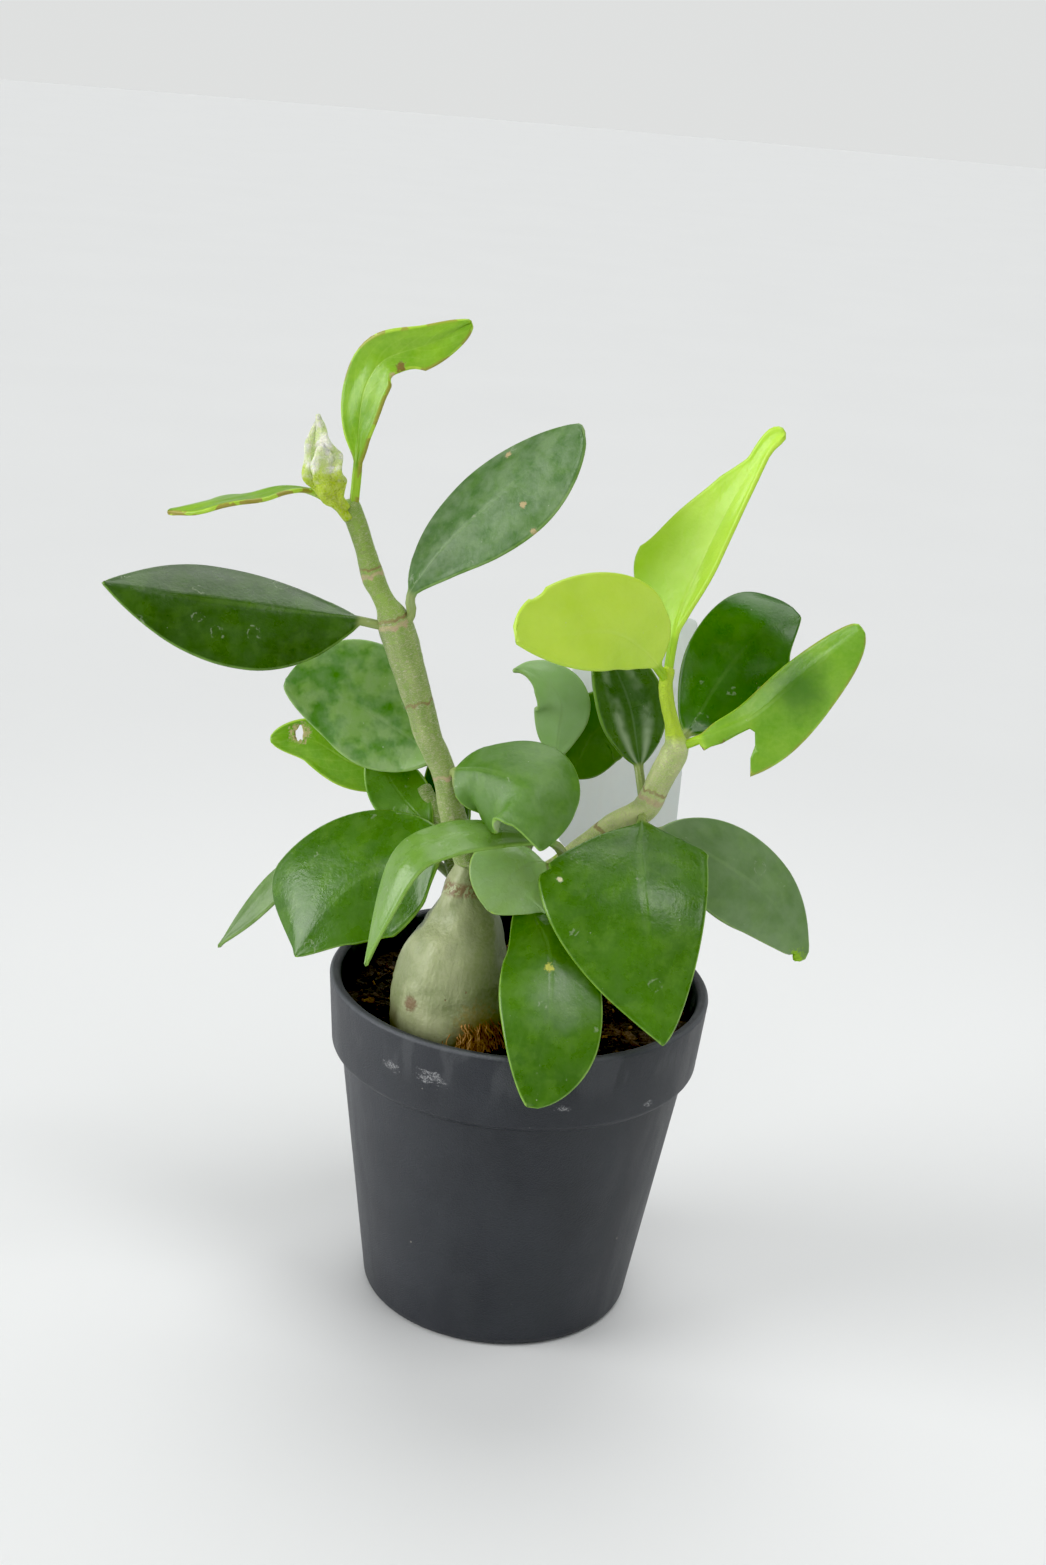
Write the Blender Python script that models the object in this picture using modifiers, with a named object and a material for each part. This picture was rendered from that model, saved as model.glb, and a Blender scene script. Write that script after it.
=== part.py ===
"""A young ant plant in a round nursery pot: caudex, stems, leaves, soil and a blank label.

Runs with: blender --background --python part.py, or from Blender's text editor.
Lengths are in millimetres until a mesh is made, where MM turns them into metres.
The origin is the middle of the pot's underside, and the plant is seen from -Y.
"""

import math
import random

import bmesh
import bpy
from mathutils import Vector, noise

MM = 0.001
GAP = 0.3

# Driving sizes of the pot, in mm
RIM_RADIUS = 45.0
POT_HEIGHT = 81.0
COLLAR_HEIGHT = 18.0
COLLAR_FOOT_RADIUS = 43.6
WALL_TOP_RADIUS = 41.2
BASE_RADIUS = 32.2
BASE_EDGE = 1.6
WALL = 1.3
FLOOR = 1.6
POT_STEPS = 48
DRAIN_COUNT = 6
DRAIN_RADIUS = 2.6
DRAIN_CIRCLE = 21.0
DRAIN_TURN = math.radians(7.0)

# The soil, a plug that fills the pot
SOIL_LEVEL = 73.0
SOIL_RELIEF = 1.2
SOIL_RINGS = 7
SOIL_STEPS = 40

# The blank label that stands behind the plant
LABEL_WIDTH = 29.0
LABEL_TOP = 164.0
LABEL_SHOULDER = 98.0
LABEL_STAKE_WIDTH = 10.0
LABEL_FOOT = 46.0
LABEL_THICKNESS = 0.8
LABEL_PLACE = (20.5, 27.0)
LABEL_LEAN = math.radians(2.0)

# Leaf blades and stalks
BLADE_GRID = (12, 6)
SMALL_GRID = (10, 4)
BLADE_THICKNESS = 0.8
STALK_WIDTH = 2.2
STALK_THICKNESS = 1.7
MIDRIB_THICKNESS = 1.2

# Where the leaves and shoots join the stems
CROWN = (-14, -13, 104)
LEFT_LOW = (-15, -12, 116)
LEFT_MID = (-21, -9, 133)
LEFT_HIGH = (-34, -7, 165)
LEFT_TOP = (-46, -5, 191)
RIGHT_LOW = (7, -8, 113)
RIGHT_MID = (25, -4, 127)
RIGHT_HIGH = (31, -3, 142)
RIGHT_TOP = (27, -4, 160)
SHOOT_LEFT_TOP = (-26, 7, 123)
SHOOT_RIGHT_TOP = (5, 11, 126)

# Colours: base colour and roughness
GREEN_DARK = ((0.05, 0.14, 0.02), 0.35)
GREEN_MID = ((0.10, 0.22, 0.05), 0.4)
GREEN_GREY = ((0.16, 0.26, 0.13), 0.45)
GREEN_YOUNG = ((0.36, 0.55, 0.06), 0.4)
STEM_GREEN = ((0.38, 0.42, 0.20), 0.7)
CAUDEX_GREY = ((0.42, 0.44, 0.29), 0.75)
BUD_PALE = ((0.75, 0.80, 0.42), 0.5)
POT_BLACK = ((0.035, 0.038, 0.044), 0.55)
SOIL_BROWN = ((0.05, 0.03, 0.02), 0.95)
LABEL_WHITE = ((0.72, 0.77, 0.82), 0.5)

# An empty scene with one collection for the parts and one for the cutters
for old in list(bpy.data.objects):
    bpy.data.objects.remove(old)
parts = bpy.data.collections.new("ant_plant_in_pot")
cutters = bpy.data.collections.new("cutters")
cutters.hide_render = True
for collection in (parts, cutters):
    bpy.context.scene.collection.children.link(collection)


def make_material(name, finish):
    """A plain material of one colour and roughness."""
    colour, roughness = finish
    material = bpy.data.materials.new(name)
    material.use_nodes = True
    shader = material.node_tree.nodes["Principled BSDF"]
    shader.inputs["Base Color"].default_value = (*colour, 1.0)
    shader.inputs["Roughness"].default_value = roughness
    shader.inputs["Metallic"].default_value = 0.0
    return material


def add_part(name, data, finish):
    """Put a mesh in the parts collection with its own material."""
    part = bpy.data.objects.new(name, data)
    data.materials.append(make_material(name + "_finish", finish))
    parts.objects.link(part)
    return part


def add_cutter(name, data):
    """Put a mesh in the cutters collection, drawn as wire and never rendered."""
    cutter = bpy.data.objects.new(name, data)
    cutter.hide_render = True
    cutter.display_type = "WIRE"
    cutters.objects.link(cutter)
    return cutter


def cut(part, cutter):
    """Take the cutter's space out of the part."""
    boolean = part.modifiers.new("cut_" + cutter.name, "BOOLEAN")
    boolean.operation = "DIFFERENCE"
    boolean.solver = "EXACT"
    boolean.object = cutter


def mesh_from_object(name, holder):
    """The object's finished mesh, its seams closed and its faces turned outwards."""
    bpy.context.scene.collection.objects.link(holder)
    depsgraph = bpy.context.evaluated_depsgraph_get()
    mesh = bpy.data.meshes.new_from_object(holder.evaluated_get(depsgraph))
    bpy.data.objects.remove(holder)
    bm = bmesh.new()
    bm.from_mesh(mesh)
    bmesh.ops.remove_doubles(bm, verts=bm.verts, dist=1e-6)
    bmesh.ops.recalc_face_normals(bm, faces=bm.faces)
    bm.to_mesh(mesh)
    bm.free()
    mesh.name = name
    mesh.materials.clear()
    return mesh


def mesh_from_curve(name, curve):
    """A curve's bevelled or extruded shape as a closed mesh."""
    return mesh_from_object(name, bpy.data.objects.new(name + "_curve", curve))


# Curves: a smooth line through a few chosen points
def smooth_line(points, count):
    """Evenly spaced points on a Catmull-Rom curve through the given ones."""
    knots = [Vector(point) for point in points]
    knots = [2 * knots[0] - knots[1]] + knots + [2 * knots[-1] - knots[-2]]
    fine = []
    fine_steps = 24
    for a, b, c, d in zip(knots, knots[1:], knots[2:], knots[3:]):
        for step in range(fine_steps):
            s = step / fine_steps
            fine.append(0.5 * (2 * b + (c - a) * s + (2 * a - 5 * b + 4 * c - d) * s ** 2
                               + (3 * b - a - 3 * c + d) * s ** 3))
    fine.append(knots[-2])
    run = [0.0]
    for before, after in zip(fine, fine[1:]):
        run.append(run[-1] + (after - before).length)
    even = []
    place = 0
    for index in range(count):
        target = run[-1] * index / (count - 1)
        while place < len(run) - 2 and run[place + 1] < target:
            place += 1
        share = (target - run[place]) / (run[place + 1] - run[place])
        even.append(fine[place].lerp(fine[place + 1], min(max(share, 0.0), 1.0)))
    return even, run[-1]


def along(values, share):
    """The value at a share of the way through an evenly spaced list of numbers or vectors."""
    if isinstance(values, (int, float)):
        return values
    at = share * (len(values) - 1)
    low = min(int(at), len(values) - 2)
    rest = at - low
    return values[low] * (1 - rest) + values[low + 1] * rest


# Round stems: a curve with a bevel, its radius given at each chosen point
def tube_mesh(name, points, radii, sides, spacing=4.5, grow=0.0):
    """A closed round tube; grow widens and lengthens it all round."""
    knots = [Vector(point) for point in points]
    knots[0] = knots[0] + (knots[0] - knots[1]).normalized() * grow
    knots[-1] = knots[-1] + (knots[-1] - knots[-2]).normalized() * grow
    reach = sum((b - a).length for a, b in zip(knots, knots[1:]))
    line, length = smooth_line(knots, max(4, round(reach / spacing)))
    shares = [0.0]
    for a, b in zip(knots, knots[1:]):
        shares.append(shares[-1] + (b - a).length / reach)
    curve = bpy.data.curves.new(name, "CURVE")
    curve.dimensions = "3D"
    curve.bevel_depth = MM
    curve.bevel_resolution = sides // 2 - 2
    curve.use_fill_caps = True
    spline = curve.splines.new("POLY")
    spline.points.add(len(line) - 1)
    for index, (point, place) in enumerate(zip(spline.points, line)):
        share = index / (len(line) - 1)
        k = 0
        while k < len(shares) - 2 and shares[k + 1] < share:
            k += 1
        rest = (share - shares[k]) / (shares[k + 1] - shares[k])
        rest = min(max(rest, 0.0), 1.0)
        point.co = (*(place * MM), 1.0)
        point.radius = radii[k] * (1 - rest) + radii[k + 1] * rest + grow
    return mesh_from_curve(name, curve)


def add_stem(name, points, radii, sides, finish, spacing=4.5):
    """A stem, and a cutter that is the same stem grown by the gap on every side."""
    stem = add_part(name, tube_mesh(name, points, radii, sides, spacing), finish)
    stem.data.shade_smooth()
    stem.data.set_sharp_from_angle(angle=math.radians(50))
    grown = add_cutter(name + "_seat", tube_mesh(name + "_seat", points, radii, sides, spacing, GAP))
    return stem, grown


# Turned shapes: a profile of radius and height, spun about the pot's axis
def turned_mesh(name, profile, steps):
    """A profile at +X spun round Z; it runs down the outer side, top to bottom."""
    mesh = bpy.data.meshes.new(name)
    corners = [(radius * MM, 0.0, height * MM) for radius, height in profile]
    edges = [(k, k + 1) for k in range(len(corners) - 1)]
    mesh.from_pydata(corners, edges, [])
    holder = bpy.data.objects.new(name + "_profile", mesh)
    screw = holder.modifiers.new("turn", "SCREW")
    screw.steps = steps
    screw.render_steps = steps
    screw.use_merge_vertices = True
    screw.merge_threshold = 0.00001
    turned = mesh_from_object(name, holder)
    turned.shade_smooth()
    turned.set_sharp_from_angle(angle=math.radians(40))
    return turned


def wall_radius(height):
    """The pot's outer radius at a height below the collar."""
    return BASE_RADIUS + (WALL_TOP_RADIUS - BASE_RADIUS) * height / (POT_HEIGHT - COLLAR_HEIGHT)


def inner_radius(height):
    """The pot's inner radius: the wall and the collar follow one taper inside."""
    return wall_radius(height) - WALL


# The pot: a tapered cup with a collar below its rim and six drain holes
def make_pot():
    collar_foot = POT_HEIGHT - COLLAR_HEIGHT
    rim_inner = inner_radius(POT_HEIGHT)
    profile = [
        (0.0, FLOOR),
        (inner_radius(FLOOR) - 1.0, FLOOR),
        (inner_radius(FLOOR + 1.0), FLOOR + 1.0),
        (inner_radius(collar_foot), collar_foot),
        (rim_inner, POT_HEIGHT - 0.6),
        (rim_inner + 0.6, POT_HEIGHT),
        (RIM_RADIUS - 0.5, POT_HEIGHT),
        (RIM_RADIUS, POT_HEIGHT - 0.6),
        (COLLAR_FOOT_RADIUS, collar_foot + 0.8),
        (COLLAR_FOOT_RADIUS - 0.5, collar_foot),
        (WALL_TOP_RADIUS, collar_foot - 1.2),
        (wall_radius(BASE_EDGE), BASE_EDGE),
        (BASE_RADIUS - 0.5, 0.4),
        (BASE_RADIUS - BASE_EDGE, 0.0),
        (0.0, 0.0),
    ]
    pot = add_part("pot", turned_mesh("pot", profile, POT_STEPS), POT_BLACK)
    for index in range(DRAIN_COUNT):
        turn = 2 * math.pi * index / DRAIN_COUNT + DRAIN_TURN
        bm = bmesh.new()
        bmesh.ops.create_cone(bm, cap_ends=True, segments=12, radius1=DRAIN_RADIUS * MM,
                              radius2=DRAIN_RADIUS * MM, depth=3 * FLOOR * MM)
        place = Vector((math.cos(turn), math.sin(turn), 0.0)) * DRAIN_CIRCLE * MM
        bmesh.ops.translate(bm, verts=bm.verts, vec=place)
        mesh = bpy.data.meshes.new("drain_%d" % index)
        bm.to_mesh(mesh)
        bm.free()
        cut(pot, add_cutter("drain_%d" % index, mesh))
    return pot


# The soil: a plug with an uneven top, lowest beside the wall
def make_soil():
    reach = inner_radius(SOIL_LEVEL) - GAP
    profile = []
    for ring in range(SOIL_RINGS):
        share = ring / (SOIL_RINGS - 1)
        profile.append((reach * share, SOIL_LEVEL))
    foot = FLOOR + GAP
    profile.append((inner_radius(foot) - GAP - 2.0, foot))
    profile.append((0.0, foot))
    mesh = turned_mesh("soil", profile, SOIL_STEPS)
    for vertex in mesh.vertices:
        if vertex.co.z < (SOIL_LEVEL - 1.0) * MM:
            continue
        place = vertex.co / MM
        rough = noise.noise(place * 0.22) + 0.5 * noise.noise(place * 0.6)
        vertex.co.z += SOIL_RELIEF * rough * MM
    return add_part("soil", mesh, SOIL_BROWN)


# The caudex: a bottle-shaped swollen stem foot with rootlets at its front
CAUDEX_LINE = [(-13, -15, 48), (-14, -14, 64), (-14, -14, 72), (-15, -14, 80),
               (-15, -14, 90), (-14, -13, 98), (-14, -13, 106), (-13, -12, 112)]
CAUDEX_RADII = [6.0, 11.5, 13.2, 13.7, 12.4, 8.6, 4.6, 3.8]
ROOTLET_COUNT = 9
ROOTLET_RADIUS = 0.7


def make_caudex():
    caudex, seat = add_stem("caudex", CAUDEX_LINE, CAUDEX_RADII, 20, CAUDEX_GREY, spacing=4.0)
    caudex.data.set_sharp_from_angle(angle=math.radians(70))
    draw = random.Random(7)
    for index in range(ROOTLET_COUNT):
        turn = math.radians(-95 + 62 * index / (ROOTLET_COUNT - 1) + draw.uniform(-3, 3))
        out = Vector((math.cos(turn), math.sin(turn), 0.0))
        axis = Vector(CAUDEX_LINE[3])
        start_height = draw.uniform(78.5, 82.0)
        reach = draw.uniform(1.6, 3.0)
        root = Vector((axis.x, axis.y, start_height)) + out * (CAUDEX_RADII[3] - 1.5)
        knee = root + out * (1.2 + reach) + Vector((0, 0, -1.0))
        side = Vector((-out.y, out.x, 0.0)) * draw.uniform(-1.2, 1.2)
        tip = knee + out * 0.8 * reach + side + Vector((0, 0, SOIL_LEVEL + 2.0 - knee.z))
        name = "rootlet_%d" % index
        mesh = tube_mesh(name, [root, knee, tip], [ROOTLET_RADIUS, ROOTLET_RADIUS, 0.35], 6, 2.0)
        join = caudex.modifiers.new("join_" + name, "BOOLEAN")
        join.operation = "UNION"
        join.solver = "EXACT"
        join.object = add_cutter(name, mesh)
    return caudex, seat


# A leaf: a flat grid bent along its midrib, then given its thickness
def fullness(share, peak, base, tip):
    """Half width as a share of the widest, from the blade's base to its tip."""
    if share <= peak:
        return math.sin(math.pi / 2 * max(share, 0.0) / peak) ** base
    return max(math.cos(math.pi / 2 * (share - peak) / (1 - peak)), 0.0) ** tip


def both(value):
    """Left and right values of the blade: one value stands for both."""
    return value if isinstance(value, tuple) else (value, value)


def leaf(name, grows_from, finish, rib, face, halves, stalk=5.0, peak=0.45, base=0.7, tip=0.8,
         fold=0.0, cup=0.0, wave=0.0, waves=2.0, bite=None, tip_width=0.8, grid=BLADE_GRID):
    """A leaf with its stalk.

    rib: points along the midrib, the first inside the stem that it grows from.
    face: which way the upper side looks, from the base to the tip.
    halves: widths of the left and right half, seen from above with the tip ahead.
    peak, base, tip: where each half is widest, and how full it is before and after.
    fold: degrees by which each half rises; cup: degrees by which it rolls down again.
    wave: height of the waves in the edge; bite: side, place, half length and depth.
    """
    rows, columns = grid
    line, length = smooth_line(rib, rows + 1)
    faces = [Vector(direction).normalized() for direction in face]
    peaks, bases, tips, folds, cups = map(both, (peak, base, tip, fold, cup))
    start = stalk / length
    bm = bmesh.new()
    bmesh.ops.create_grid(bm, x_segments=rows, y_segments=columns, size=0.5)
    bmesh.ops.triangulate(bm, faces=bm.faces)
    thickness = []
    for vertex in bm.verts:
        share = vertex.co.x + 0.5
        across = 2 * vertex.co.y
        row = round(share * rows)
        before = line[max(row - 1, 0)]
        after = line[min(row + 1, rows)]
        ahead = (after - before).normalized()
        side = ahead.cross(along(faces, share)).normalized()
        up = side.cross(ahead)
        blade = max((share - start) / (1 - start), 0.0)
        half = 1 if across > 0 else 0
        full = fullness(blade, peaks[half], bases[half], tips[half])
        width = halves[half] * full
        if bite and (bite[0] > 0) == (across > 0):
            depth = 1 - (abs(blade - bite[1]) / bite[2]) ** 4
            width *= 1 - bite[3] * max(depth, 0.0)
        width = max(width, (STALK_WIDTH * (1 - blade) + tip_width * blade) / 2)
        tilt = along(folds[half], blade) - along(cups[half], blade) * abs(across) / 2
        tilt = math.radians(tilt) * min(blade / 0.15, 1.0)
        sideways = width * across * math.cos(tilt)
        raised = width * abs(across) * math.sin(tilt)
        ripple = math.sin(2 * math.pi * waves * blade)
        raised += wave * full * across ** 2 * ripple
        vertex.co = (line[row] + side * sideways + up * raised) * MM
        stalk_share = max(1 - blade / 0.12, 0.0)
        rib_share = max(1 - abs(across) * 3, 0.0) * (1 - blade)
        thick = max(STALK_THICKNESS * stalk_share, MIDRIB_THICKNESS * rib_share, BLADE_THICKNESS)
        thickness.append(thick)
    mesh = bpy.data.meshes.new(name)
    bm.to_mesh(mesh)
    bm.free()
    mesh.shade_smooth()
    part = add_part(name, mesh, finish)
    group = part.vertex_groups.new(name="thickness")
    least = BLADE_THICKNESS / STALK_THICKNESS
    for index, thick in enumerate(thickness):
        group.add([index], (thick / STALK_THICKNESS - least) / (1 - least), "REPLACE")
    solidify = part.modifiers.new("thickness", "SOLIDIFY")
    solidify.thickness = STALK_THICKNESS * MM
    solidify.offset = 0.0
    solidify.vertex_group = group.name
    solidify.thickness_vertex_group = least
    for seat in grows_from:
        cut(part, seat)
    return part


def pierce(part, place, size, face):
    """An oval hole through a blade; size is its width and height, face looks along it."""
    bm = bmesh.new()
    bmesh.ops.create_cone(bm, cap_ends=True, segments=12, radius1=0.5, radius2=0.5, depth=6.0)
    bmesh.ops.scale(bm, verts=bm.verts, vec=(*size, 1.0))
    turn = Vector(face).to_track_quat("Z", "Y").to_matrix()
    bmesh.ops.rotate(bm, verts=bm.verts, matrix=turn)
    bmesh.ops.translate(bm, verts=bm.verts, vec=Vector(place))
    bmesh.ops.scale(bm, verts=bm.verts, vec=(MM, MM, MM))
    mesh = bpy.data.meshes.new(part.name + "_hole")
    bm.to_mesh(mesh)
    bm.free()
    cut(part, add_cutter(part.name + "_hole", mesh))


# The label: a plain card with a narrow stake, leaning back a little
def label_mesh(name, grow=0.0):
    """The card's outline filled and given its thickness; grow widens it all round."""
    half = LABEL_WIDTH / 2 + grow
    stake = LABEL_STAKE_WIDTH / 2 + grow
    foot = LABEL_FOOT - grow
    outline = [
        (-half, LABEL_TOP), (-half, LABEL_SHOULDER + 8), (-stake, LABEL_SHOULDER),
        (-stake + 1, LABEL_FOOT + 8), (0, foot), (stake - 1, LABEL_FOOT + 8),
        (stake, LABEL_SHOULDER), (half, LABEL_SHOULDER + 8), (half, LABEL_TOP),
    ]
    curve = bpy.data.curves.new(name, "CURVE")
    curve.dimensions = "2D"
    curve.fill_mode = "BOTH"
    curve.extrude = (LABEL_THICKNESS / 2 + grow) * MM
    spline = curve.splines.new("POLY")
    spline.points.add(len(outline) - 1)
    for point, (across, height) in zip(spline.points, outline):
        point.co = (across * MM, (height - LABEL_FOOT) * MM, 0.0, 1.0)
    spline.use_cyclic_u = True
    return mesh_from_curve(name, curve)


def stand_label(card):
    """Stand the card up at its place in the soil."""
    card.rotation_euler = (math.pi / 2 - LABEL_LEAN, 0.0, 0.0)
    card.location = Vector((*LABEL_PLACE, LABEL_FOOT)) * MM
    return card


pot = make_pot()
soil = make_soil()
caudex, caudex_seat = make_caudex()
label = stand_label(add_part("plant_label", label_mesh("plant_label"), LABEL_WHITE))
label_slot = stand_label(add_cutter("label_slot", label_mesh("label_slot", GAP)))
cut(soil, caudex_seat)
cut(soil, label_slot)

# The four stems
STEM_LEFT_LINE = [(-13, -12, 112.3), (-18, -11, 123), LEFT_MID, (-25, -9, 141), (-28, -8, 149),
                  LEFT_HIGH, (-37, -7, 171), (-40, -6, 176), (-43, -5, 184), LEFT_TOP]
STEM_LEFT_RADII = [3.6, 3.0, 2.8, 3.0, 3.3, 4.0, 2.4, 2.5, 2.2, 2.3]
stem_left, left_seat = add_stem("stem_left", STEM_LEFT_LINE, STEM_LEFT_RADII, 12, STEM_GREEN)

STEM_RIGHT_LINE = [CROWN, (-8, -10, 108), (0, -9, 109), RIGHT_LOW, (18, -5, 123), RIGHT_MID,
                   RIGHT_HIGH, (27, -4, 156), RIGHT_TOP]
STEM_RIGHT_RADII = [3.0, 3.0, 2.6, 2.7, 2.5, 3.1, 3.0, 1.8, 1.7]
stem_right, right_seat = add_stem("stem_right", STEM_RIGHT_LINE, STEM_RIGHT_RADII, 12, STEM_GREEN)

SHOOT_LEFT_LINE = [(-14, -13, 102), (-16, -6, 107), (-21, 2, 115), SHOOT_LEFT_TOP]
shoot_left, shoot_left_seat = add_stem(
    "shoot_left", SHOOT_LEFT_LINE, [2.4, 2.4, 2.0, 1.8], 10, STEM_GREEN)

SHOOT_RIGHT_LINE = [(-13, -13, 100), (-8, -6, 104), (-1, 4, 114), SHOOT_RIGHT_TOP]
shoot_right, shoot_right_seat = add_stem(
    "shoot_right", SHOOT_RIGHT_LINE, [2.4, 2.4, 2.0, 1.8], 10, STEM_GREEN)

for stem in (stem_left, stem_right, shoot_left, shoot_right):
    cut(stem, caudex_seat)
cut(shoot_right, right_seat)

# Leaves of the left stem, from the top down
leaf("leaf_top_right", [left_seat], GREEN_YOUNG,
     rib=[(-45.5, -5, 188), (-45, -5, 200), (-45, -4, 209), (-44, -3, 219), (-38, -3, 226),
          (-31, -4, 230), (-23, -5, 234)],
     face=[(-0.4, -1, 0.2), (-0.6, -1, 0.2), (-0.2, -1, -0.2)], halves=(6, 6), stalk=11,
     peak=(0.4, 0.5), base=(1.2, 0.9), tip=(0.6, 0.7), fold=10, wave=0.8)
leaf("leaf_top_left", [left_seat], GREEN_YOUNG,
     rib=[(-44, -5, 187), (-49, -5.5, 191.5), (-54, -6, 194), (-61, -8, 194.5), (-70, -10, 193),
          (-85, -12, 188)],
     face=[(0, 0.1, 1), (0, -0.05, 1)], halves=(7, 7), stalk=10, peak=(0.55, 0.7), base=0.8,
     tip=0.7, cup=10, wave=0.6, grid=SMALL_GRID)
leaf("leaf_upper_left", [left_seat], GREEN_DARK,
     rib=[LEFT_HIGH, (-44, -9, 167), (-60, -10, 168), (-80, -11, 169), (-99, -12, 171)],
     face=[(0, -1, 1.2), (0, -1, 1.2)], halves=(14.5, 12), stalk=8, peak=(0.42, 0.62),
     base=(0.7, 0.9), tip=0.9, fold=(-14, -8), cup=14)
leaf("leaf_upper_right", [left_seat], GREEN_GREY,
     rib=[(-34, -7, 163), (-31, -8, 169), (-31, -8, 174), (-24, -6, 185), (-11, -4, 199),
          (3, -2, 213)],
     face=[(-0.3, -1, 1), (-0.6, -1, 1)], halves=(12, 12.5), stalk=11, peak=0.5, base=0.8,
     fold=-6, cup=10)
leaf("leaf_behind_stem", [left_seat], GREEN_GREY,
     rib=[LEFT_MID, (-24, 1, 133), (-33, 7, 137), (-46, 11, 142), (-61, 12, 144)],
     face=[(0, -1, 0.5), (0, -1, 0.4)], halves=(12, 16), stalk=10, peak=(0.45, 0.55),
     base=(0.6, 1.2), tip=(0.7, 0.6), cup=15)
leaf("leaf_front_centre", [left_seat], GREEN_MID,
     rib=[LEFT_MID, (-13, -16, 137), (-3, -24, 137), (1, -29, 132), (2, -32, 125)],
     face=[(-0.2, -1, 1), (0.1, -1, 0.9), (0.4, -1, 0.3)], halves=(16, 9), stalk=4,
     peak=(0.5, 0.35), base=(0.7, 0.5), tip=(0.8, 0.9), fold=(-5, -10), cup=(25, [90, 60, 10]))
leaf("leaf_lower_left", [left_seat], GREEN_MID,
     rib=[LEFT_LOW, (-25, -9, 112), (-38, -8, 106), (-47, -11, 97), (-52, -14, 87)],
     face=[(0, -1, 1.2), (-0.3, -1, 1), (-0.8, -1, 0.5)], halves=(16, 20), stalk=6,
     peak=(0.4, 0.66), base=(0.6, 0.6), tip=(0.8, 0.4), fold=(-10, 0), cup=(10, 15))

# Leaves of the right stem, from the top down
leaf("leaf_young_up", [right_seat], GREEN_YOUNG,
     rib=[(27, -4, 157), (28, -2, 170), (32, 0, 183), (38, 2, 199), (45, 3, 213)],
     face=[(-0.6, -1, 0.1), (-0.6, -1, 0.2)], halves=(17, 5), stalk=10, peak=(0.33, 0.4),
     base=0.8, tip=(1.6, 0.6), fold=(0, 20), tip_width=4)
leaf("leaf_young_front", [right_seat], GREEN_YOUNG,
     rib=[(27, -4, 158), (20, -12, 167), (11, -20, 172), (-6, -32, 175)],
     face=[(0.2, -1, 0.3), (0.2, -1, 0.3)], halves=(8.5, 13), stalk=6, peak=(0.5, 0.4),
     base=(0.7, 0.5), tip=(0.35, 0.45))
leaf("leaf_back_right", [right_seat], GREEN_DARK,
     rib=[RIGHT_HIGH, (35, 4, 147), (41, 8, 158), (49, 10, 168), (57, 14, 171)],
     face=[(-0.3, -1, 0.4), (0, -1, 0.5), (0, -0.5, 1)], halves=(16, 12.5), stalk=5,
     peak=(0.6, 0.5), tip=(0.5, 0.9), cup=20)
leaf("leaf_notched", [right_seat], GREEN_YOUNG,
     rib=[RIGHT_HIGH, (39, -5, 147), (47, -6, 152), (56, -8, 163), (66, -10, 175)],
     face=[(-0.2, -1, 0.7), (-0.1, -1, 0.7)], halves=(5, 13), stalk=6, peak=(0.5, 0.27),
     base=(0.7, 0.5), fold=(0, -12), cup=10, bite=(1, 0.08, 0.19, 0.88))
leaf("leaf_mid_right", [right_seat], GREEN_DARK,
     rib=[RIGHT_MID, (23, 4, 135), (20, 7, 147), (15, 9, 157), (10, 10, 166)],
     face=[(0.3, -1, 0.2), (0.3, -1, 0.3)], halves=(8.5, 8.5), stalk=11, peak=0.4, tip=0.9,
     fold=12)
leaf("leaf_front_right", [right_seat], GREEN_MID,
     rib=[RIGHT_MID, (24, -16, 123), (26, -30, 114), (29, -39, 100), (34, -44, 85)],
     face=[(0.1, -1, 1.2), (0.15, -1, 0.3), (0, -1, 0.2)], halves=(16.5, 23), stalk=5,
     peak=(0.16, 0.3), base=(0.45, 0.8), tip=(0.7, 0.9), fold=-4, cup=10)
leaf("leaf_far_right", [right_seat], GREEN_GREY,
     rib=[(20, -5, 124), (30, -3, 121), (43, 0, 115), (56, 2, 106), (65, 2, 94), (64, 1, 91)],
     face=[(0, -1, 1), (0.3, -1, 0.8)], halves=(11.5, 12), stalk=9, cup=20)
leaf("leaf_front_curved", [right_seat], GREEN_MID,
     rib=[(8, -8, 114), (5, -13, 120), (-6, -20, 124), (-19, -27, 124), (-28, -32, 118),
          (-34, -36, 96)],
     face=[(0, -0.6, 1), (-0.3, -0.5, 1), (-1, -0.5, 0.4)], halves=(7, 9), stalk=8, peak=0.5,
     base=0.8, tip=0.9, cup=20)
leaf("leaf_front_short", [right_seat], GREEN_GREY,
     rib=[(5, -9, 112), (1, -16, 116), (-4, -21, 114), (-8, -25, 107)],
     face=[(0, -0.6, 1), (-0.2, -1, 0.8)], halves=(8, 9), stalk=5, peak=0.5, tip=0.7, cup=30)
leaf("leaf_low_front", [right_seat], GREEN_MID,
     rib=[(0, -9, 109), (1, -20, 107), (6, -31, 101), (7, -42.5, 90), (4, -51, 73)],
     face=[(0, -1, 1), (0, -1, 0.3)], halves=(12, 11.5), stalk=7, peak=(0.68, 0.5), base=0.8,
     tip=(0.5, 0.8), cup=12)

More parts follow.
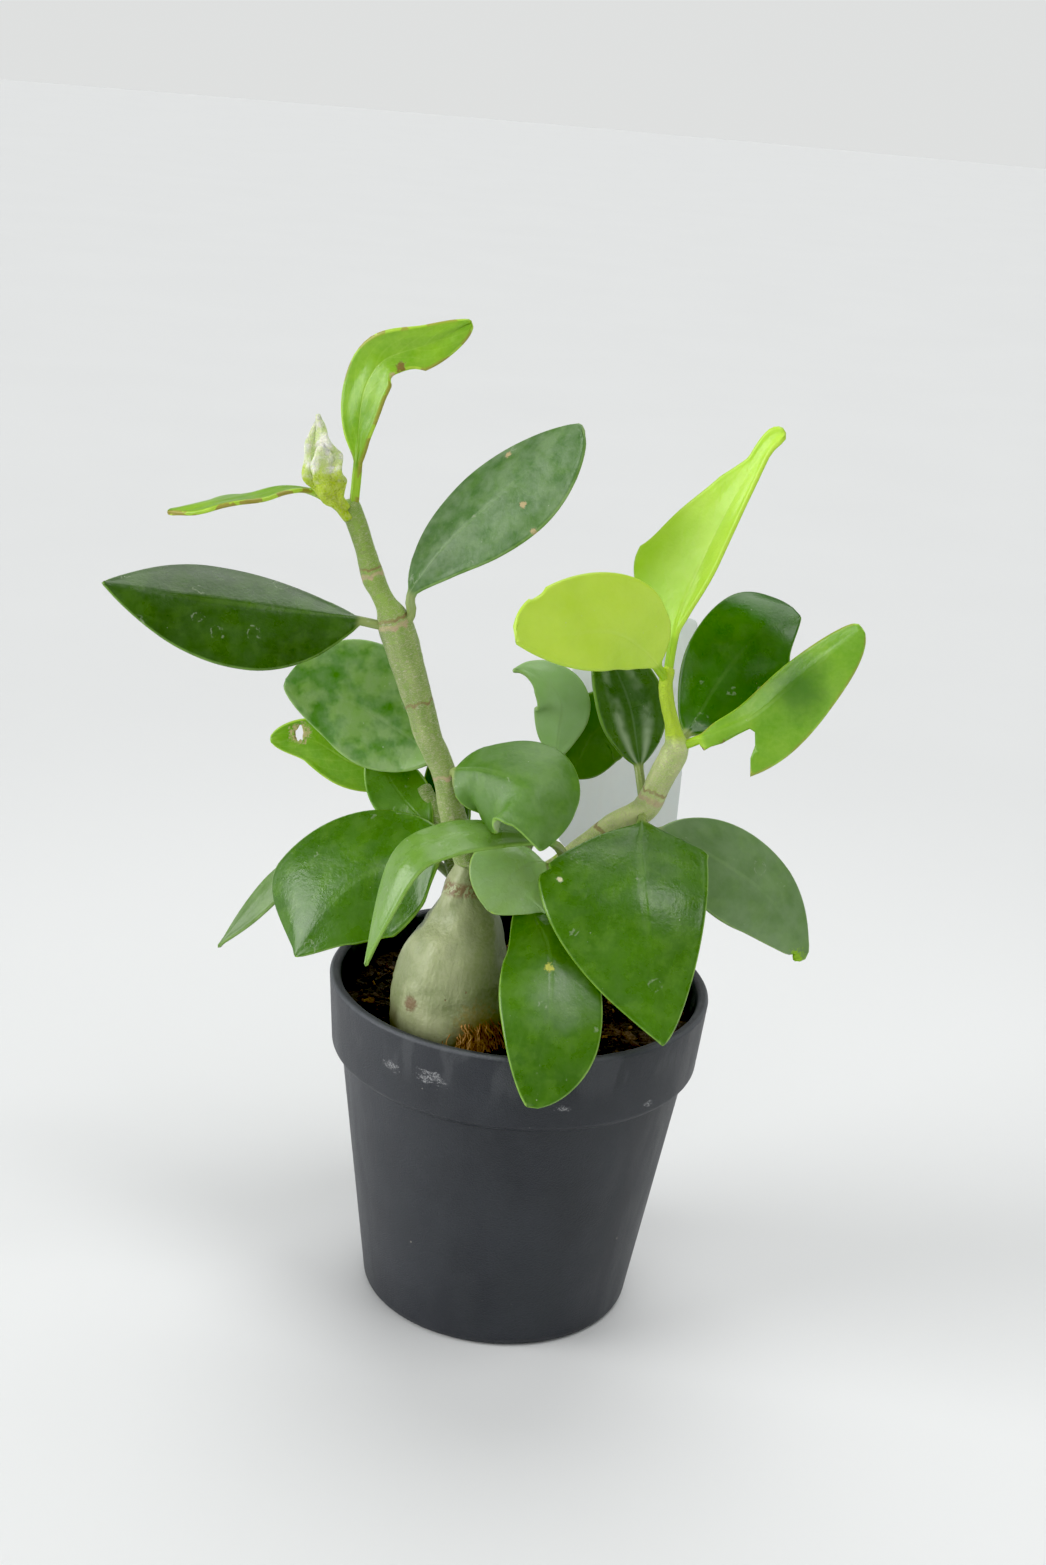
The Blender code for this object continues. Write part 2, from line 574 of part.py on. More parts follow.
# Leaves of the two shoots behind
young_left = leaf(
    "leaf_young_left", [shoot_left_seat], GREEN_YOUNG,
    rib=[(-25, 6, 121.5), (-34, 17, 122), (-45, 20, 124), (-55, 22, 128), (-65, 23, 127)],
    face=[(0, -1, 0.3), (0, -1, 0.2)], halves=(6.5, 6), stalk=8, peak=(0.5, 0.55), base=0.8,
    tip=0.5, cup=10, grid=SMALL_GRID)
pierce(young_left, (-57.8, 22.4, 129.3), (2.1, 3.4), (0, -1, 0.25))
leaf("leaf_shoot_left", [shoot_left_seat], GREEN_MID,
     rib=[(-20, 1, 114), (-25, 2, 117), (-31, 6, 121), (-36, 9, 127), (-38, 12, 133)],
     face=[(-0.2, -1, 0.4), (0, -1, 0.5)], halves=(7, 7), stalk=4, cup=15, grid=SMALL_GRID)
leaf("leaf_dark_left", [shoot_left_seat], GREEN_DARK,
     rib=[(-17, -4, 109), (-18, 5, 113), (-21, 11, 119), (-25, 14, 130)],
     face=[(-0.2, -1, 0.4), (0, -1, 0.5)], halves=(5.5, 5.5), stalk=8, cup=15, grid=SMALL_GRID)
leaf("leaf_far_left", [shoot_left_seat], GREEN_GREY,
     rib=[(-16, -7, 106), (-23, 4, 107), (-35, 13, 109), (-48, 17, 105), (-61, 19, 92),
          (-75, 19, 73)],
     face=[(-0.3, -0.5, 1), (-0.3, -0.6, 1)], halves=(4.5, 4.5), stalk=12, peak=0.7, base=0.8,
     tip=1, cup=20, grid=SMALL_GRID)
leaf("leaf_back_curled", [shoot_right_seat], GREEN_GREY,
     rib=[(4, 10, 124), (4, 14, 136), (4, 14, 145), (0, 14, 150), (-4, 14, 152), (-8, 14, 152)],
     face=[(0, -1, 0.2), (0, -1, 0.5), (0.2, -0.8, 1)], halves=(6.5, 7), stalk=8,
     peak=(0.4, 0.5), tip=(1.3, 0.9), cup=10, grid=SMALL_GRID)
leaf("leaf_back_dark", [shoot_right_seat], GREEN_DARK,
     rib=[(3, 9, 121), (9, 16, 130), (13, 18, 138), (20, 19, 140), (27, 20, 141)],
     face=[(0.0, -1, 0.2), (0, -1, 0.3)], halves=(9, 9), stalk=9, base=0.6, tip=0.7, cup=10)

# The crumpled pale bud at the tip of the left stem
leaf("bud", [left_seat], BUD_PALE,
     rib=[(-45.5, -6.5, 189), (-49, -10, 195), (-52, -11, 202), (-53, -11, 209)],
     face=[(-0.3, -1, 0.1), (-0.3, -1, 0.1)], halves=(4.5, 4.5), stalk=4, tip=0.5, fold=25,
     cup=60, wave=1.2, waves=3, grid=SMALL_GRID)
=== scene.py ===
# %% [markdown]
# A young ant plant in its nursery pot.
# The real object is a plant with a swollen stem foot, the caudex, that stands in bark compost.
# The engineering model gives every piece its place and its main form. This lesson dresses
# those pieces: finer leaves and stems, compost that is made of chips, and materials that
# show the waxy, dusty and woody surfaces of a living plant.
# Loading the frame first means that nothing here has to be fitted later on: all numbers are
# in the same axes, and the helper MM turns millimetres into Blender's metres.

import math
import random

import bmesh
import bpy
from mathutils import Matrix, Vector, noise


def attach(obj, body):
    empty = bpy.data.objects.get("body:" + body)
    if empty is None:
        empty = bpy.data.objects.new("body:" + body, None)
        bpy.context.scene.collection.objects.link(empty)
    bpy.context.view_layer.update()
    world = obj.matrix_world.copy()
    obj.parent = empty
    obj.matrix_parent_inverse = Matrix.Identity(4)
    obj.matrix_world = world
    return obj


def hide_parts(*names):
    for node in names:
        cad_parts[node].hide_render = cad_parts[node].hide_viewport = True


MM = 0.001
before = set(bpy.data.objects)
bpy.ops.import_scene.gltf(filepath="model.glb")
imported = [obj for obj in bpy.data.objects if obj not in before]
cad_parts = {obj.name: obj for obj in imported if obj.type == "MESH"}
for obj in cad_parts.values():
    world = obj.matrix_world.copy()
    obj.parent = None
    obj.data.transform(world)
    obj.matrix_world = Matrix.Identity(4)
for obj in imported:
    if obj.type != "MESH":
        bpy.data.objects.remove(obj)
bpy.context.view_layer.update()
print("nodes in the frame:", len(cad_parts))

# %% [markdown]
# The camera stands a little above the plant and looks down on it, as a visitor at a bench
# would. It is turned by a few degrees about its own line of sight, because the picture was
# taken with a slightly tilted hand. A look-at direction gives two of the three angles, and
# the roll is added about the camera's own Z axis, which is simpler than guessing three
# Euler angles that depend on one another.

# %% Camera
CAMERA_PLACE = Vector((0.0, -474.0, 291.0)) * MM
CAMERA_AIM = Vector((-3.2, 0.0, 129.5)) * MM
CAMERA_ROLL = math.radians(4.95)

camera_data = bpy.data.cameras.new("camera")
camera_data.lens = 50.0
camera_data.sensor_width = 36.0
camera_data.clip_start = 0.01
camera = bpy.data.objects.new("camera", camera_data)
bpy.context.scene.collection.objects.link(camera)
aim = (CAMERA_AIM - CAMERA_PLACE).to_track_quat("-Z", "Y").to_matrix().to_4x4()
camera.matrix_world = Matrix.Translation(CAMERA_PLACE) @ aim @ Matrix.Rotation(CAMERA_ROLL, 4, "Z")
bpy.context.scene.camera = camera
print("camera distance in mm:", round((CAMERA_AIM - CAMERA_PLACE).length / MM))

# %% [markdown]
# Node trees hold formulas, and a formula is easier to read as text than as forty nodes.
# The small class below stands for one wire of a tree. Adding or multiplying wires adds the
# Math nodes that do the same, so the leaf's rule can be written almost as on paper. The
# same class serves geometry trees and shader trees, because both know the Math node.

# %% Wires: formulas that write node trees
class Wire:
    """One value on its way through a node tree."""

    def __init__(self, tree, socket):
        self.tree = tree
        self.socket = socket

    def math(self, operation, *others, clamp=False):
        node = self.tree.nodes.new("ShaderNodeMath")
        node.operation = operation
        node.use_clamp = clamp
        for socket, value in zip(node.inputs, (self, *others)):
            plug(self.tree, value, socket)
        return Wire(self.tree, node.outputs[0])

    def __add__(self, other):
        return self.math("ADD", other)

    def __sub__(self, other):
        return self.math("SUBTRACT", other)

    def __mul__(self, other):
        return self.math("MULTIPLY", other)

    def __truediv__(self, other):
        return self.math("DIVIDE", other)

    def __rsub__(self, other):
        return (self * -1.0) + other

    def __rtruediv__(self, other):
        return (self ** -1.0) * other

    def __pow__(self, other):
        return self.math("POWER", other)

    __radd__ = __add__
    __rmul__ = __mul__

    def abs(self):
        return self.math("ABSOLUTE")

    def least(self, other):
        return self.math("MINIMUM", other)

    def most(self, other):
        return self.math("MAXIMUM", other)

    def clamped(self):
        return self.math("ADD", 0.0, clamp=True)

    def above(self, other):
        return self.math("GREATER_THAN", other)

    def ramp(self, low, high):
        """0 at low, 1 at high, with a soft start and end; low may be the larger one."""
        node = self.tree.nodes.new("ShaderNodeMapRange")
        node.interpolation_type = "SMOOTHSTEP"
        flip = low > high
        plug(self.tree, self, node.inputs["Value"])
        node.inputs["From Min"].default_value = min(low, high)
        node.inputs["From Max"].default_value = max(low, high)
        node.inputs["To Min"].default_value = 1.0 if flip else 0.0
        node.inputs["To Max"].default_value = 0.0 if flip else 1.0
        return Wire(self.tree, node.outputs["Result"])


def plug(tree, value, socket):
    """Give a socket a wire or a plain value."""
    if isinstance(value, Wire):
        tree.links.new(value.socket, socket)
    elif value is not None:
        socket.default_value = value


def node_of(tree, kind, inputs=None, **settings):
    """A node with its settings and inputs in one call."""
    node = tree.nodes.new(kind)
    for key, value in settings.items():
        setattr(node, key, value)
    for key, value in (inputs or {}).items():
        plug(tree, value, node.inputs[key])
    return node


def out(node, key=0):
    return Wire(node.id_data, node.outputs[key])


def arrows(tree, operation, a, b=None, scale=None):
    """Vector maths on two wires or vectors."""
    node = tree.nodes.new("ShaderNodeVectorMath")
    node.operation = operation
    plug(tree, a, node.inputs[0])
    plug(tree, b, node.inputs[1])
    if scale is not None:
        plug(tree, scale, node.inputs["Scale"])
    return out(node, 1 if operation in ("LENGTH", "DISTANCE", "DOT_PRODUCT") else 0)


def join_xyz(tree, x=0.0, y=0.0, z=0.0):
    return out(node_of(tree, "ShaderNodeCombineXYZ", {0: x, 1: y, 2: z}))


def split_xyz(tree, vector):
    node = node_of(tree, "ShaderNodeSeparateXYZ", {0: vector})
    return [out(node, index) for index in range(3)]


def blend_numbers(tree, share, a, b):
    return a + (b - a) * share if isinstance(a, Wire) or isinstance(b, Wire) else share * (b - a) + a


def blend_vectors(tree, share, a, b):
    node = tree.nodes.new("ShaderNodeMix")
    node.data_type = "VECTOR"
    plug(tree, share, node.inputs[0])
    plug(tree, a, node.inputs[4])
    plug(tree, b, node.inputs[5])
    return Wire(tree, node.outputs[1])


def noise_wire(tree, vector, scale, detail=2.0, roughness=0.5, distortion=0.0):
    node = node_of(tree, "ShaderNodeTexNoise", {"Vector": vector, "Scale": scale,
                                               "Detail": detail, "Roughness": roughness,
                                               "Distortion": distortion})
    return out(node, 0)


print("wires ready")

# %% [markdown]
# A geometry tree is like a small machine with labelled dials. The next helpers build an
# empty one with its inputs, and run it: they put it on a host object, set each dial by its
# socket's identifier, let Blender evaluate the result, and keep that as a plain mesh. The
# modifier and the host go away afterwards, so what stays is an ordinary object whose
# place is in its mesh.

# %% Geometry trees: make one and run one
def new_tree(name, dials):
    """A geometry tree and its inputs as wires. dials: label to (socket type, default)."""
    tree = bpy.data.node_groups.new(name, "GeometryNodeTree")
    tree.interface.new_socket("Geometry", in_out="INPUT", socket_type="NodeSocketGeometry")
    for label, (kind, value) in dials.items():
        socket = tree.interface.new_socket(label, in_out="INPUT", socket_type="NodeSocket" + kind)
        if value is not None:
            socket.default_value = value
    tree.interface.new_socket("Geometry", in_out="OUTPUT", socket_type="NodeSocketGeometry")
    source = tree.nodes.new("NodeGroupInput")
    wires = {socket.name: Wire(tree, socket) for socket in source.outputs if socket.name}
    return tree, wires


def end_tree(tree, geometry, material):
    """Close a tree: real geometry, smooth faces, its material."""
    real = out(node_of(tree, "GeometryNodeRealizeInstances", {"Geometry": geometry}))
    smooth = out(node_of(tree, "GeometryNodeSetShadeSmooth", {"Geometry": real}))
    painted = out(node_of(tree, "GeometryNodeSetMaterial",
                          {"Geometry": smooth, "Material": material}))
    target = tree.nodes.new("NodeGroupOutput")
    plug(tree, painted, target.inputs[0])


def run_tree(name, host, tree, dials):
    """Run the tree on the host and keep the result as a mesh object of that name."""
    modifier = host.modifiers.new("tree", "NODES")
    modifier.node_group = tree
    for item in tree.interface.items_tree:
        if item.in_out == "INPUT" and item.name in dials:
            modifier[item.identifier] = dials[item.name]
    depsgraph = bpy.context.evaluated_depsgraph_get()
    mesh = bpy.data.meshes.new_from_object(host.evaluated_get(depsgraph))
    host.modifiers.remove(modifier)
    bpy.data.objects.remove(host)
    mesh.name = name
    mesh.materials.clear()
    mesh.materials.append(dials["Material"])
    mesh.polygons.foreach_set("material_index", [0] * len(mesh.polygons))
    piece = bpy.data.objects.new(name, mesh)
    bpy.context.scene.collection.objects.link(piece)
    return piece


def thread(name, points, radii=None):
    """A host made of a chain of points in mm, each with its radius."""
    mesh = bpy.data.meshes.new(name)
    edges = [(k, k + 1) for k in range(len(points) - 1)]
    mesh.from_pydata([tuple(Vector(point) * MM) for point in points], edges, [])
    if radii:
        mesh.attributes.new("radius", "FLOAT", "POINT")
        for index, radius in enumerate(radii):
            mesh.attributes["radius"].data[index].value = radius * MM
    host = bpy.data.objects.new(name, mesh)
    bpy.context.scene.collection.objects.link(host)
    return host


def smooth_curve(tree, geometry, steps=16):
    """Turn a chain of points into a smooth curve that passes through all of them."""
    curve = out(node_of(tree, "GeometryNodeMeshToCurve", {"Mesh": geometry}))
    typed = out(node_of(tree, "GeometryNodeCurveSplineType", {"Curve": curve},
                        spline_type="CATMULL_ROM"))
    return out(node_of(tree, "GeometryNodeSetSplineResolution",
                       {"Geometry": typed, "Resolution": steps}))


def store(tree, geometry, label, value, kind="FLOAT", domain="POINT"):
    """Keep a value on the geometry under a name that materials can read."""
    node = tree.nodes.new("GeometryNodeStoreNamedAttribute")
    node.data_type = kind
    node.domain = domain
    plug(tree, geometry, node.inputs["Geometry"])
    node.inputs["Name"].default_value = label
    plug(tree, value, node.inputs["Value"])
    return out(node)


def recall(tree, label):
    """Read a stored value back."""
    node = node_of(tree, "GeometryNodeInputNamedAttribute", {"Name": label}, data_type="FLOAT")
    return out(node, "Attribute")


print("tree helpers ready")

# %% [markdown]
# A leaf is the piece that repeats most, and every leaf follows one rule. Its midrib is a
# smooth curve in space. Across the midrib runs a ruler whose length swells and shrinks from
# the stalk to the tip, and whose two ends may rise, fold or roll down. Modelling each leaf
# by hand would give freer shapes, but the rule keeps all of them alike and editable, and
# it is the same rule that the engineering model uses, so each leaf stays on its solid.
# The tree lays a flat grid on that rule, then gives it thickness: the upper face is pushed
# one way, the lower face the other way, and both meet in a rounded rim, where they merge.
# It also stores how far along and across the blade each point lies and how far from the
# rim it is, because the veins and the pale rim are painted from these values.

# %% The leaf tree
LEAF_DIALS = {
    "Rows": ("Int", 57),
    "Columns": ("Int", 27),
    "Half widths": ("Vector", (0.01, 0.01, 0.0)),
    "Widest at": ("Vector", (0.45, 0.45, 0.0)),
    "Base fullness": ("Vector", (0.7, 0.7, 0.0)),
    "Tip fullness": ("Vector", (0.8, 0.8, 0.0)),
    "Fold": ("Vector", (0.0, 0.0, 0.0)),
    "Cup at base": ("Vector", (0.0, 0.0, 0.0)),
    "Cup at tip": ("Vector", (0.0, 0.0, 0.0)),
    "Stalk": ("Float", 0.005),
    "Stalk width": ("Float", 0.0022),
    "Tip width": ("Float", 0.0008),
    "Wave height": ("Float", 0.0),
    "Wave count": ("Float", 2.0),
    "Bite side": ("Float", 0.0),
    "Bite place": ("Float", 0.5),
    "Bite reach": ("Float", 0.1),
    "Bite depth": ("Float", 0.0),
    "Face at base": ("Vector", (0.0, -1.0, 0.0)),
    "Face in middle": ("Vector", (0.0, -1.0, 0.0)),
    "Face at tip": ("Vector", (0.0, -1.0, 0.0)),
    "Blade thickness": ("Float", 0.0009),
    "Stalk thickness": ("Float", 0.0018),
    "Rim bead": ("Float", 0.00012),
    "Unevenness": ("Float", 0.0004),
    "Seed": ("Float", 0.0),
    "Material": ("Material", None),
}
leaf_tree, dial = new_tree("leaf_blade", LEAF_DIALS)
tree = leaf_tree

rib_curve = smooth_curve(tree, dial["Geometry"])
rib_length = out(node_of(tree, "GeometryNodeCurveLength", {"Curve": rib_curve}))
grid = out(node_of(tree, "GeometryNodeMeshGrid",
                   {"Size X": 1.0, "Size Y": 1.0, "Vertices X": dial["Rows"],
                    "Vertices Y": dial["Columns"]}))
grid_x, grid_y, grid_z = split_xyz(tree, out(node_of(tree, "GeometryNodeInputPosition")))

# %% [markdown]
# The grid's own X and Y say where a point belongs: share runs from stalk to tip, across
# from the left rim at -1 to the right rim at +1. Both are bent so that rows and columns
# crowd near the tip and the rims, where the rounding of the edge needs them.

# %% The leaf tree: share, across and the outline
share = 1.0 - (0.5 - grid_x).most(0.0) ** 1.2
side_sign = grid_y.math("SIGN")
across_size = 1.0 - (1.0 - (grid_y * 2.0).abs()).most(0.0) ** 1.7
across = across_size * side_sign
on_right = grid_y.above(0.0)


def by_side(label):
    """The left or the right value of a dial that holds both."""
    left, right, unused = split_xyz(tree, dial[label])
    return left + (right - left) * on_right


stalk_share = dial["Stalk"] / rib_length
blade = ((share - stalk_share) / (1.0 - stalk_share)).clamped()
peak = by_side("Widest at")
rising = ((blade / peak).clamped() * (math.pi / 2)).math("SINE").most(0.0)
falling = (((blade - peak) / (1.0 - peak)).clamped() * (math.pi / 2)).math("COSINE").most(0.0)
past_peak = blade.above(peak)
fullness = (rising ** by_side("Base fullness")) * (1.0 - past_peak)
fullness = fullness + (falling ** by_side("Tip fullness")) * past_peak

bite_here = (dial["Bite side"] * side_sign).above(0.0)
bite_shape = (1.0 - ((blade - dial["Bite place"]) / dial["Bite reach"]).abs() ** 4.0).most(0.0)
bite = 1.0 - bite_here * bite_shape * dial["Bite depth"]
narrowest = (dial["Stalk width"] * (1.0 - blade) + dial["Tip width"] * blade) * 0.5
from_tip = (rib_length - dial["Stalk"]) * (1.0 - blade)


def quarter_circle(distance, radius):
    """1 inside, falling to 0 at the rim like the side of a circle."""
    inward = 1.0 - (distance / radius).clamped()
    return (1.0 - inward * inward).most(0.0).math("SQRT")


half_width = (by_side("Half widths") * fullness * bite).most(narrowest)
half_width = half_width * quarter_circle(from_tip, dial["Tip width"] * 0.6)
print("outline rule ready, nodes so far:", len(tree.nodes))

# %% [markdown]
# Now the ruler is laid in space. The curve gives a place and a direction for each share.
# The face vectors say which way the upper side looks, and two cross products turn them
# into a tidy frame of ahead, sideways and up. Noise lifts the blade by a few tenths of a
# millimetre, since no living leaf is as even as a formula.

# %% The leaf tree: place in space
sample = node_of(tree, "GeometryNodeSampleCurve", {"Curves": rib_curve, "Factor": share},
                 mode="FACTOR")
rib_place = out(sample, "Position")
ahead = arrows(tree, "NORMALIZE", out(sample, "Tangent"))
first_half = blend_vectors(tree, (share * 2.0).clamped(), dial["Face at base"], dial["Face in middle"])
facing = blend_vectors(tree, (share * 2.0 - 1.0).clamped(), first_half, dial["Face at tip"])
sideways = arrows(tree, "NORMALIZE", arrows(tree, "CROSS_PRODUCT", ahead, facing))
upwards = arrows(tree, "CROSS_PRODUCT", sideways, ahead)

cup_base, cup_tip = by_side("Cup at base"), by_side("Cup at tip")
cup = cup_base + (cup_tip - cup_base) * blade
tilt = (by_side("Fold") - cup * across_size * 0.5) * (math.pi / 180)
tilt = tilt * (blade / 0.15).clamped()
lateral = half_width * across * tilt.math("COSINE")
raised = half_width * across_size * tilt.math("SINE")
ripple = (blade * dial["Wave count"] * (2 * math.pi)).math("SINE")
raised = raised + dial["Wave height"] * fullness * across_size * across_size * ripple

seed_place = join_xyz(tree, share * 2.2, across * 0.7, dial["Seed"])
bumps = noise_wire(tree, seed_place, 1.6, 1.0) - 0.5
raised = raised + bumps * dial["Unevenness"] * 2.0 * (blade * 6.0).clamped()

surface = arrows(tree, "ADD", rib_place, arrows(tree, "SCALE", sideways, scale=lateral))
surface = arrows(tree, "ADD", surface, arrows(tree, "SCALE", upwards, scale=raised))
print("surface rule ready, nodes so far:", len(tree.nodes))

# %% [markdown]
# Thickness comes last. A real blade is a little thicker along its midrib, far thicker in
# its stalk, and carries a fine bead round the rim. The thickness falls to nothing over the
# last half millimetre in the shape of a quarter circle, so the two faces meet in a round
# edge that catches the light.

# %% The leaf tree: thickness, rim and ends
from_rim = half_width * (1.0 - across_size)
from_foot = rib_length * share
stalk_part = (1.0 - blade / 0.12).clamped()
thickness = dial["Blade thickness"] + (dial["Stalk thickness"] - dial["Blade thickness"]) * stalk_part
rib_part = (1.0 - across_size * 3.0).clamped() * (1.0 - blade)
thickness = thickness + 0.0005 * rib_part
bead = (1.0 - ((from_rim - 0.0007) / 0.0006).abs()).clamped()
thickness = thickness + dial["Rim bead"] * 2.0 * bead * (1.0 - stalk_part)
rounding = thickness * 0.5 + (half_width - thickness * 0.5).most(0.0) * stalk_part


half_thickness = thickness * 0.5 * quarter_circle(from_rim, rounding)
half_thickness = half_thickness * quarter_circle(from_tip, thickness * 0.5)
half_thickness = half_thickness * quarter_circle(from_foot, thickness * 0.5)

marked = store(tree, grid, "along", blade)
marked = store(tree, marked, "across", across)
marked = store(tree, marked, "rim_mm", from_rim * 1000.0)
marked = store(tree, marked, "half_thickness", half_thickness)
leaf_uv = join_xyz(tree, share, across * 0.5 + 0.5, 0.0)
marked = store(tree, marked, "UVMap", leaf_uv, "FLOAT2", "CORNER")
marked = out(node_of(tree, "GeometryNodeSetPosition", {"Geometry": marked, "Position": surface}))

leaf_normal = out(node_of(tree, "GeometryNodeInputNormal"), 0)
push = recall(tree, "half_thickness")
lower_offset = arrows(tree, "SCALE", leaf_normal, scale=push)
upper_offset = arrows(tree, "SCALE", leaf_normal, scale=push * -1.0)
lower = out(node_of(tree, "GeometryNodeSetPosition", {"Geometry": marked, "Offset": lower_offset}))
upper = out(node_of(tree, "GeometryNodeSetPosition", {"Geometry": marked, "Offset": upper_offset}))
upper = out(node_of(tree, "GeometryNodeFlipFaces", {"Mesh": upper}))
lower = store(tree, lower, "under", 1.0)
upper = store(tree, upper, "under", 0.0)
both_faces = tree.nodes.new("GeometryNodeJoinGeometry")
for face in (lower, upper):
    tree.links.new(face.socket, both_faces.inputs[0])
welded = out(node_of(tree, "GeometryNodeMergeByDistance",
                     {"Geometry": out(both_faces), "Distance": 0.000002}))
end_tree(tree, welded, dial["Material"])
print("leaf tree ready, nodes:", len(leaf_tree.nodes))

# %% [markdown]
# Stems, the caudex and the rootlets are round things that follow a path. A curve with a
# bevel would do, but a tree can also store what the bark pattern needs: where a point lies
# round the stem and how far up it is. The pattern then follows each bend, as scaly skin
# does, instead of cutting through the stem like wallpaper.

# %% The stem tree
STEM_DIALS = {
    "Sides": ("Int", 24),
    "Step": ("Float", 0.0008),
    "Lump height": ("Float", 0.0002),
    "Lump size": ("Float", 3.0),
    "Lump stretch": ("Float", 1.0),
    "Seed": ("Float", 0.0),
    "Material": ("Material", None),
}
stem_tree, dial = new_tree("round_stem", STEM_DIALS)
tree = stem_tree
path = smooth_curve(tree, dial["Geometry"])
path = out(node_of(tree, "GeometryNodeResampleCurve", {"Curve": path, "Length": dial["Step"]},
                   mode="LENGTH"))
walked = out(node_of(tree, "GeometryNodeSplineParameter"), "Length")
radius_here = out(node_of(tree, "GeometryNodeInputRadius"))
path = store(tree, path, "up_mm", walked * 1000.0)
path = store(tree, path, "thick_mm", radius_here * 1000.0)
ring = out(node_of(tree, "GeometryNodeCurvePrimitiveCircle",
                   {"Resolution": dial["Sides"], "Radius": 1.0}))
ring = store(tree, ring, "round", out(node_of(tree, "GeometryNodeInputPosition")), "FLOAT_VECTOR")
tube = out(node_of(tree, "GeometryNodeCurveToMesh",
                   {"Curve": path, "Profile Curve": ring, "Scale": radius_here, "Fill Caps": True}))
round_place = out(node_of(tree, "GeometryNodeInputNamedAttribute", {"Name": "round"},
                          data_type="FLOAT_VECTOR"), "Attribute")
skin = arrows(tree, "SCALE", round_place, scale=recall(tree, "thick_mm"))
skin = arrows(tree, "ADD", skin, join_xyz(tree, 0.0, 0.0, recall(tree, "up_mm")))
tube = store(tree, tube, "skin", skin, "FLOAT_VECTOR")
lump_place = arrows(tree, "MULTIPLY", skin, join_xyz(tree, 1.0, 1.0, 1.0 / dial["Lump stretch"]))
lump_place = arrows(tree, "ADD", lump_place, join_xyz(tree, dial["Seed"], 0.0, 0.0))
lumps = noise_wire(tree, lump_place, 1.0 / dial["Lump size"], 3.0) - 0.5
stem_normal = out(node_of(tree, "GeometryNodeInputNormal"), 0)
lump_push = arrows(tree, "SCALE", stem_normal, scale=lumps * dial["Lump height"] * 2.0)
tube = out(node_of(tree, "GeometryNodeSetPosition", {"Geometry": tube, "Offset": lump_push}))
end_tree(tree, tube, dial["Material"])
print("stem tree ready, nodes:", len(stem_tree.nodes))

# %% [markdown]
# Effects that several finishes share are shader groups: each is built once and gives out
# a mask between 0 and 1. Every group takes a place in millimetres, so a speck of dust has
# the same size on a leaf, on the pot and on the label.

# %% Shader groups: how they are made
def new_group(name, dials, masks=("Mask",)):
    """A shader group with named inputs; give it its masks with end_group."""
    group = bpy.data.node_groups.new(name, "ShaderNodeTree")
    for label, (kind, value) in dials.items():
        socket = group.interface.new_socket(label, in_out="INPUT", socket_type="NodeSocket" + kind)
        socket.default_value = value
    for label in masks:
        group.interface.new_socket(label, in_out="OUTPUT", socket_type="NodeSocketFloat")
    source = group.nodes.new("NodeGroupInput")
    return group, {socket.name: Wire(group, socket) for socket in source.outputs if socket.name}


def end_group(group, *masks):
    target = group.nodes.new("NodeGroupOutput")
    for socket, mask in zip(target.inputs, masks):
        plug(group, mask, socket)


def use_group(tree, group, **dials):
    """Place a group in a material; underscores in a dial's name stand for spaces."""
    node = tree.nodes.new("ShaderNodeGroup")
    node.node_tree = group
    for label, value in dials.items():
        plug(tree, value, node.inputs[label.replace("_", " ")])
    return out(node)


def voronoi(tree, place, scale, feature="F1", randomness=1.0):
    node = node_of(tree, "ShaderNodeTexVoronoi", {"Vector": place, "Scale": scale,
                                                 "Randomness": randomness}, feature=feature)
    return out(node, "Distance"), (out(node, "Color") if feature == "F1" else None)


# %% Shader groups: mottle, scurf, specks, rings, scars
mottle_group, dial = new_group("mottle", {"Place": ("Vector", (0, 0, 0)), "Size": ("Float", 5.0),
                                          "Sharpness": ("Float", 1.0)})
coarse = noise_wire(mottle_group, dial["Place"], 1.0 / dial["Size"], 3.0, 0.55)
end_group(mottle_group, ((coarse - 0.5) * dial["Sharpness"] * 2.0 + 0.5).clamped())

scurf_group, dial = new_group("scurf", {"Place": ("Vector", (0, 0, 0)), "Size": ("Float", 1.0)})
bend = (noise_wire(scurf_group, dial["Place"], 1.0 / dial["Size"], 2.0, 0.6) - 0.5).abs()
end_group(scurf_group, bend.ramp(0.045, 0.005))

specks_group, dial = new_group("specks", {"Place": ("Vector", (0, 0, 0)), "Spacing": ("Float", 3.0),
                                          "Speck size": ("Float", 0.2), "Amount": ("Float", 0.3)})
reach, tint = voronoi(specks_group, dial["Place"], 1.0 / dial["Spacing"])
tint_x, tint_y, tint_z = split_xyz(specks_group, tint)
uneven = noise_wire(specks_group, dial["Place"], 2.2, 2.0) * 0.9 + 0.4
size_here = dial["Speck size"] * (tint_y * 0.8 + 0.4) * uneven / dial["Spacing"]
speck = (1.0 - reach / size_here).clamped() * 3.0
end_group(specks_group, speck.clamped() * (1.0 - tint_x).above(1.0 - dial["Amount"]))

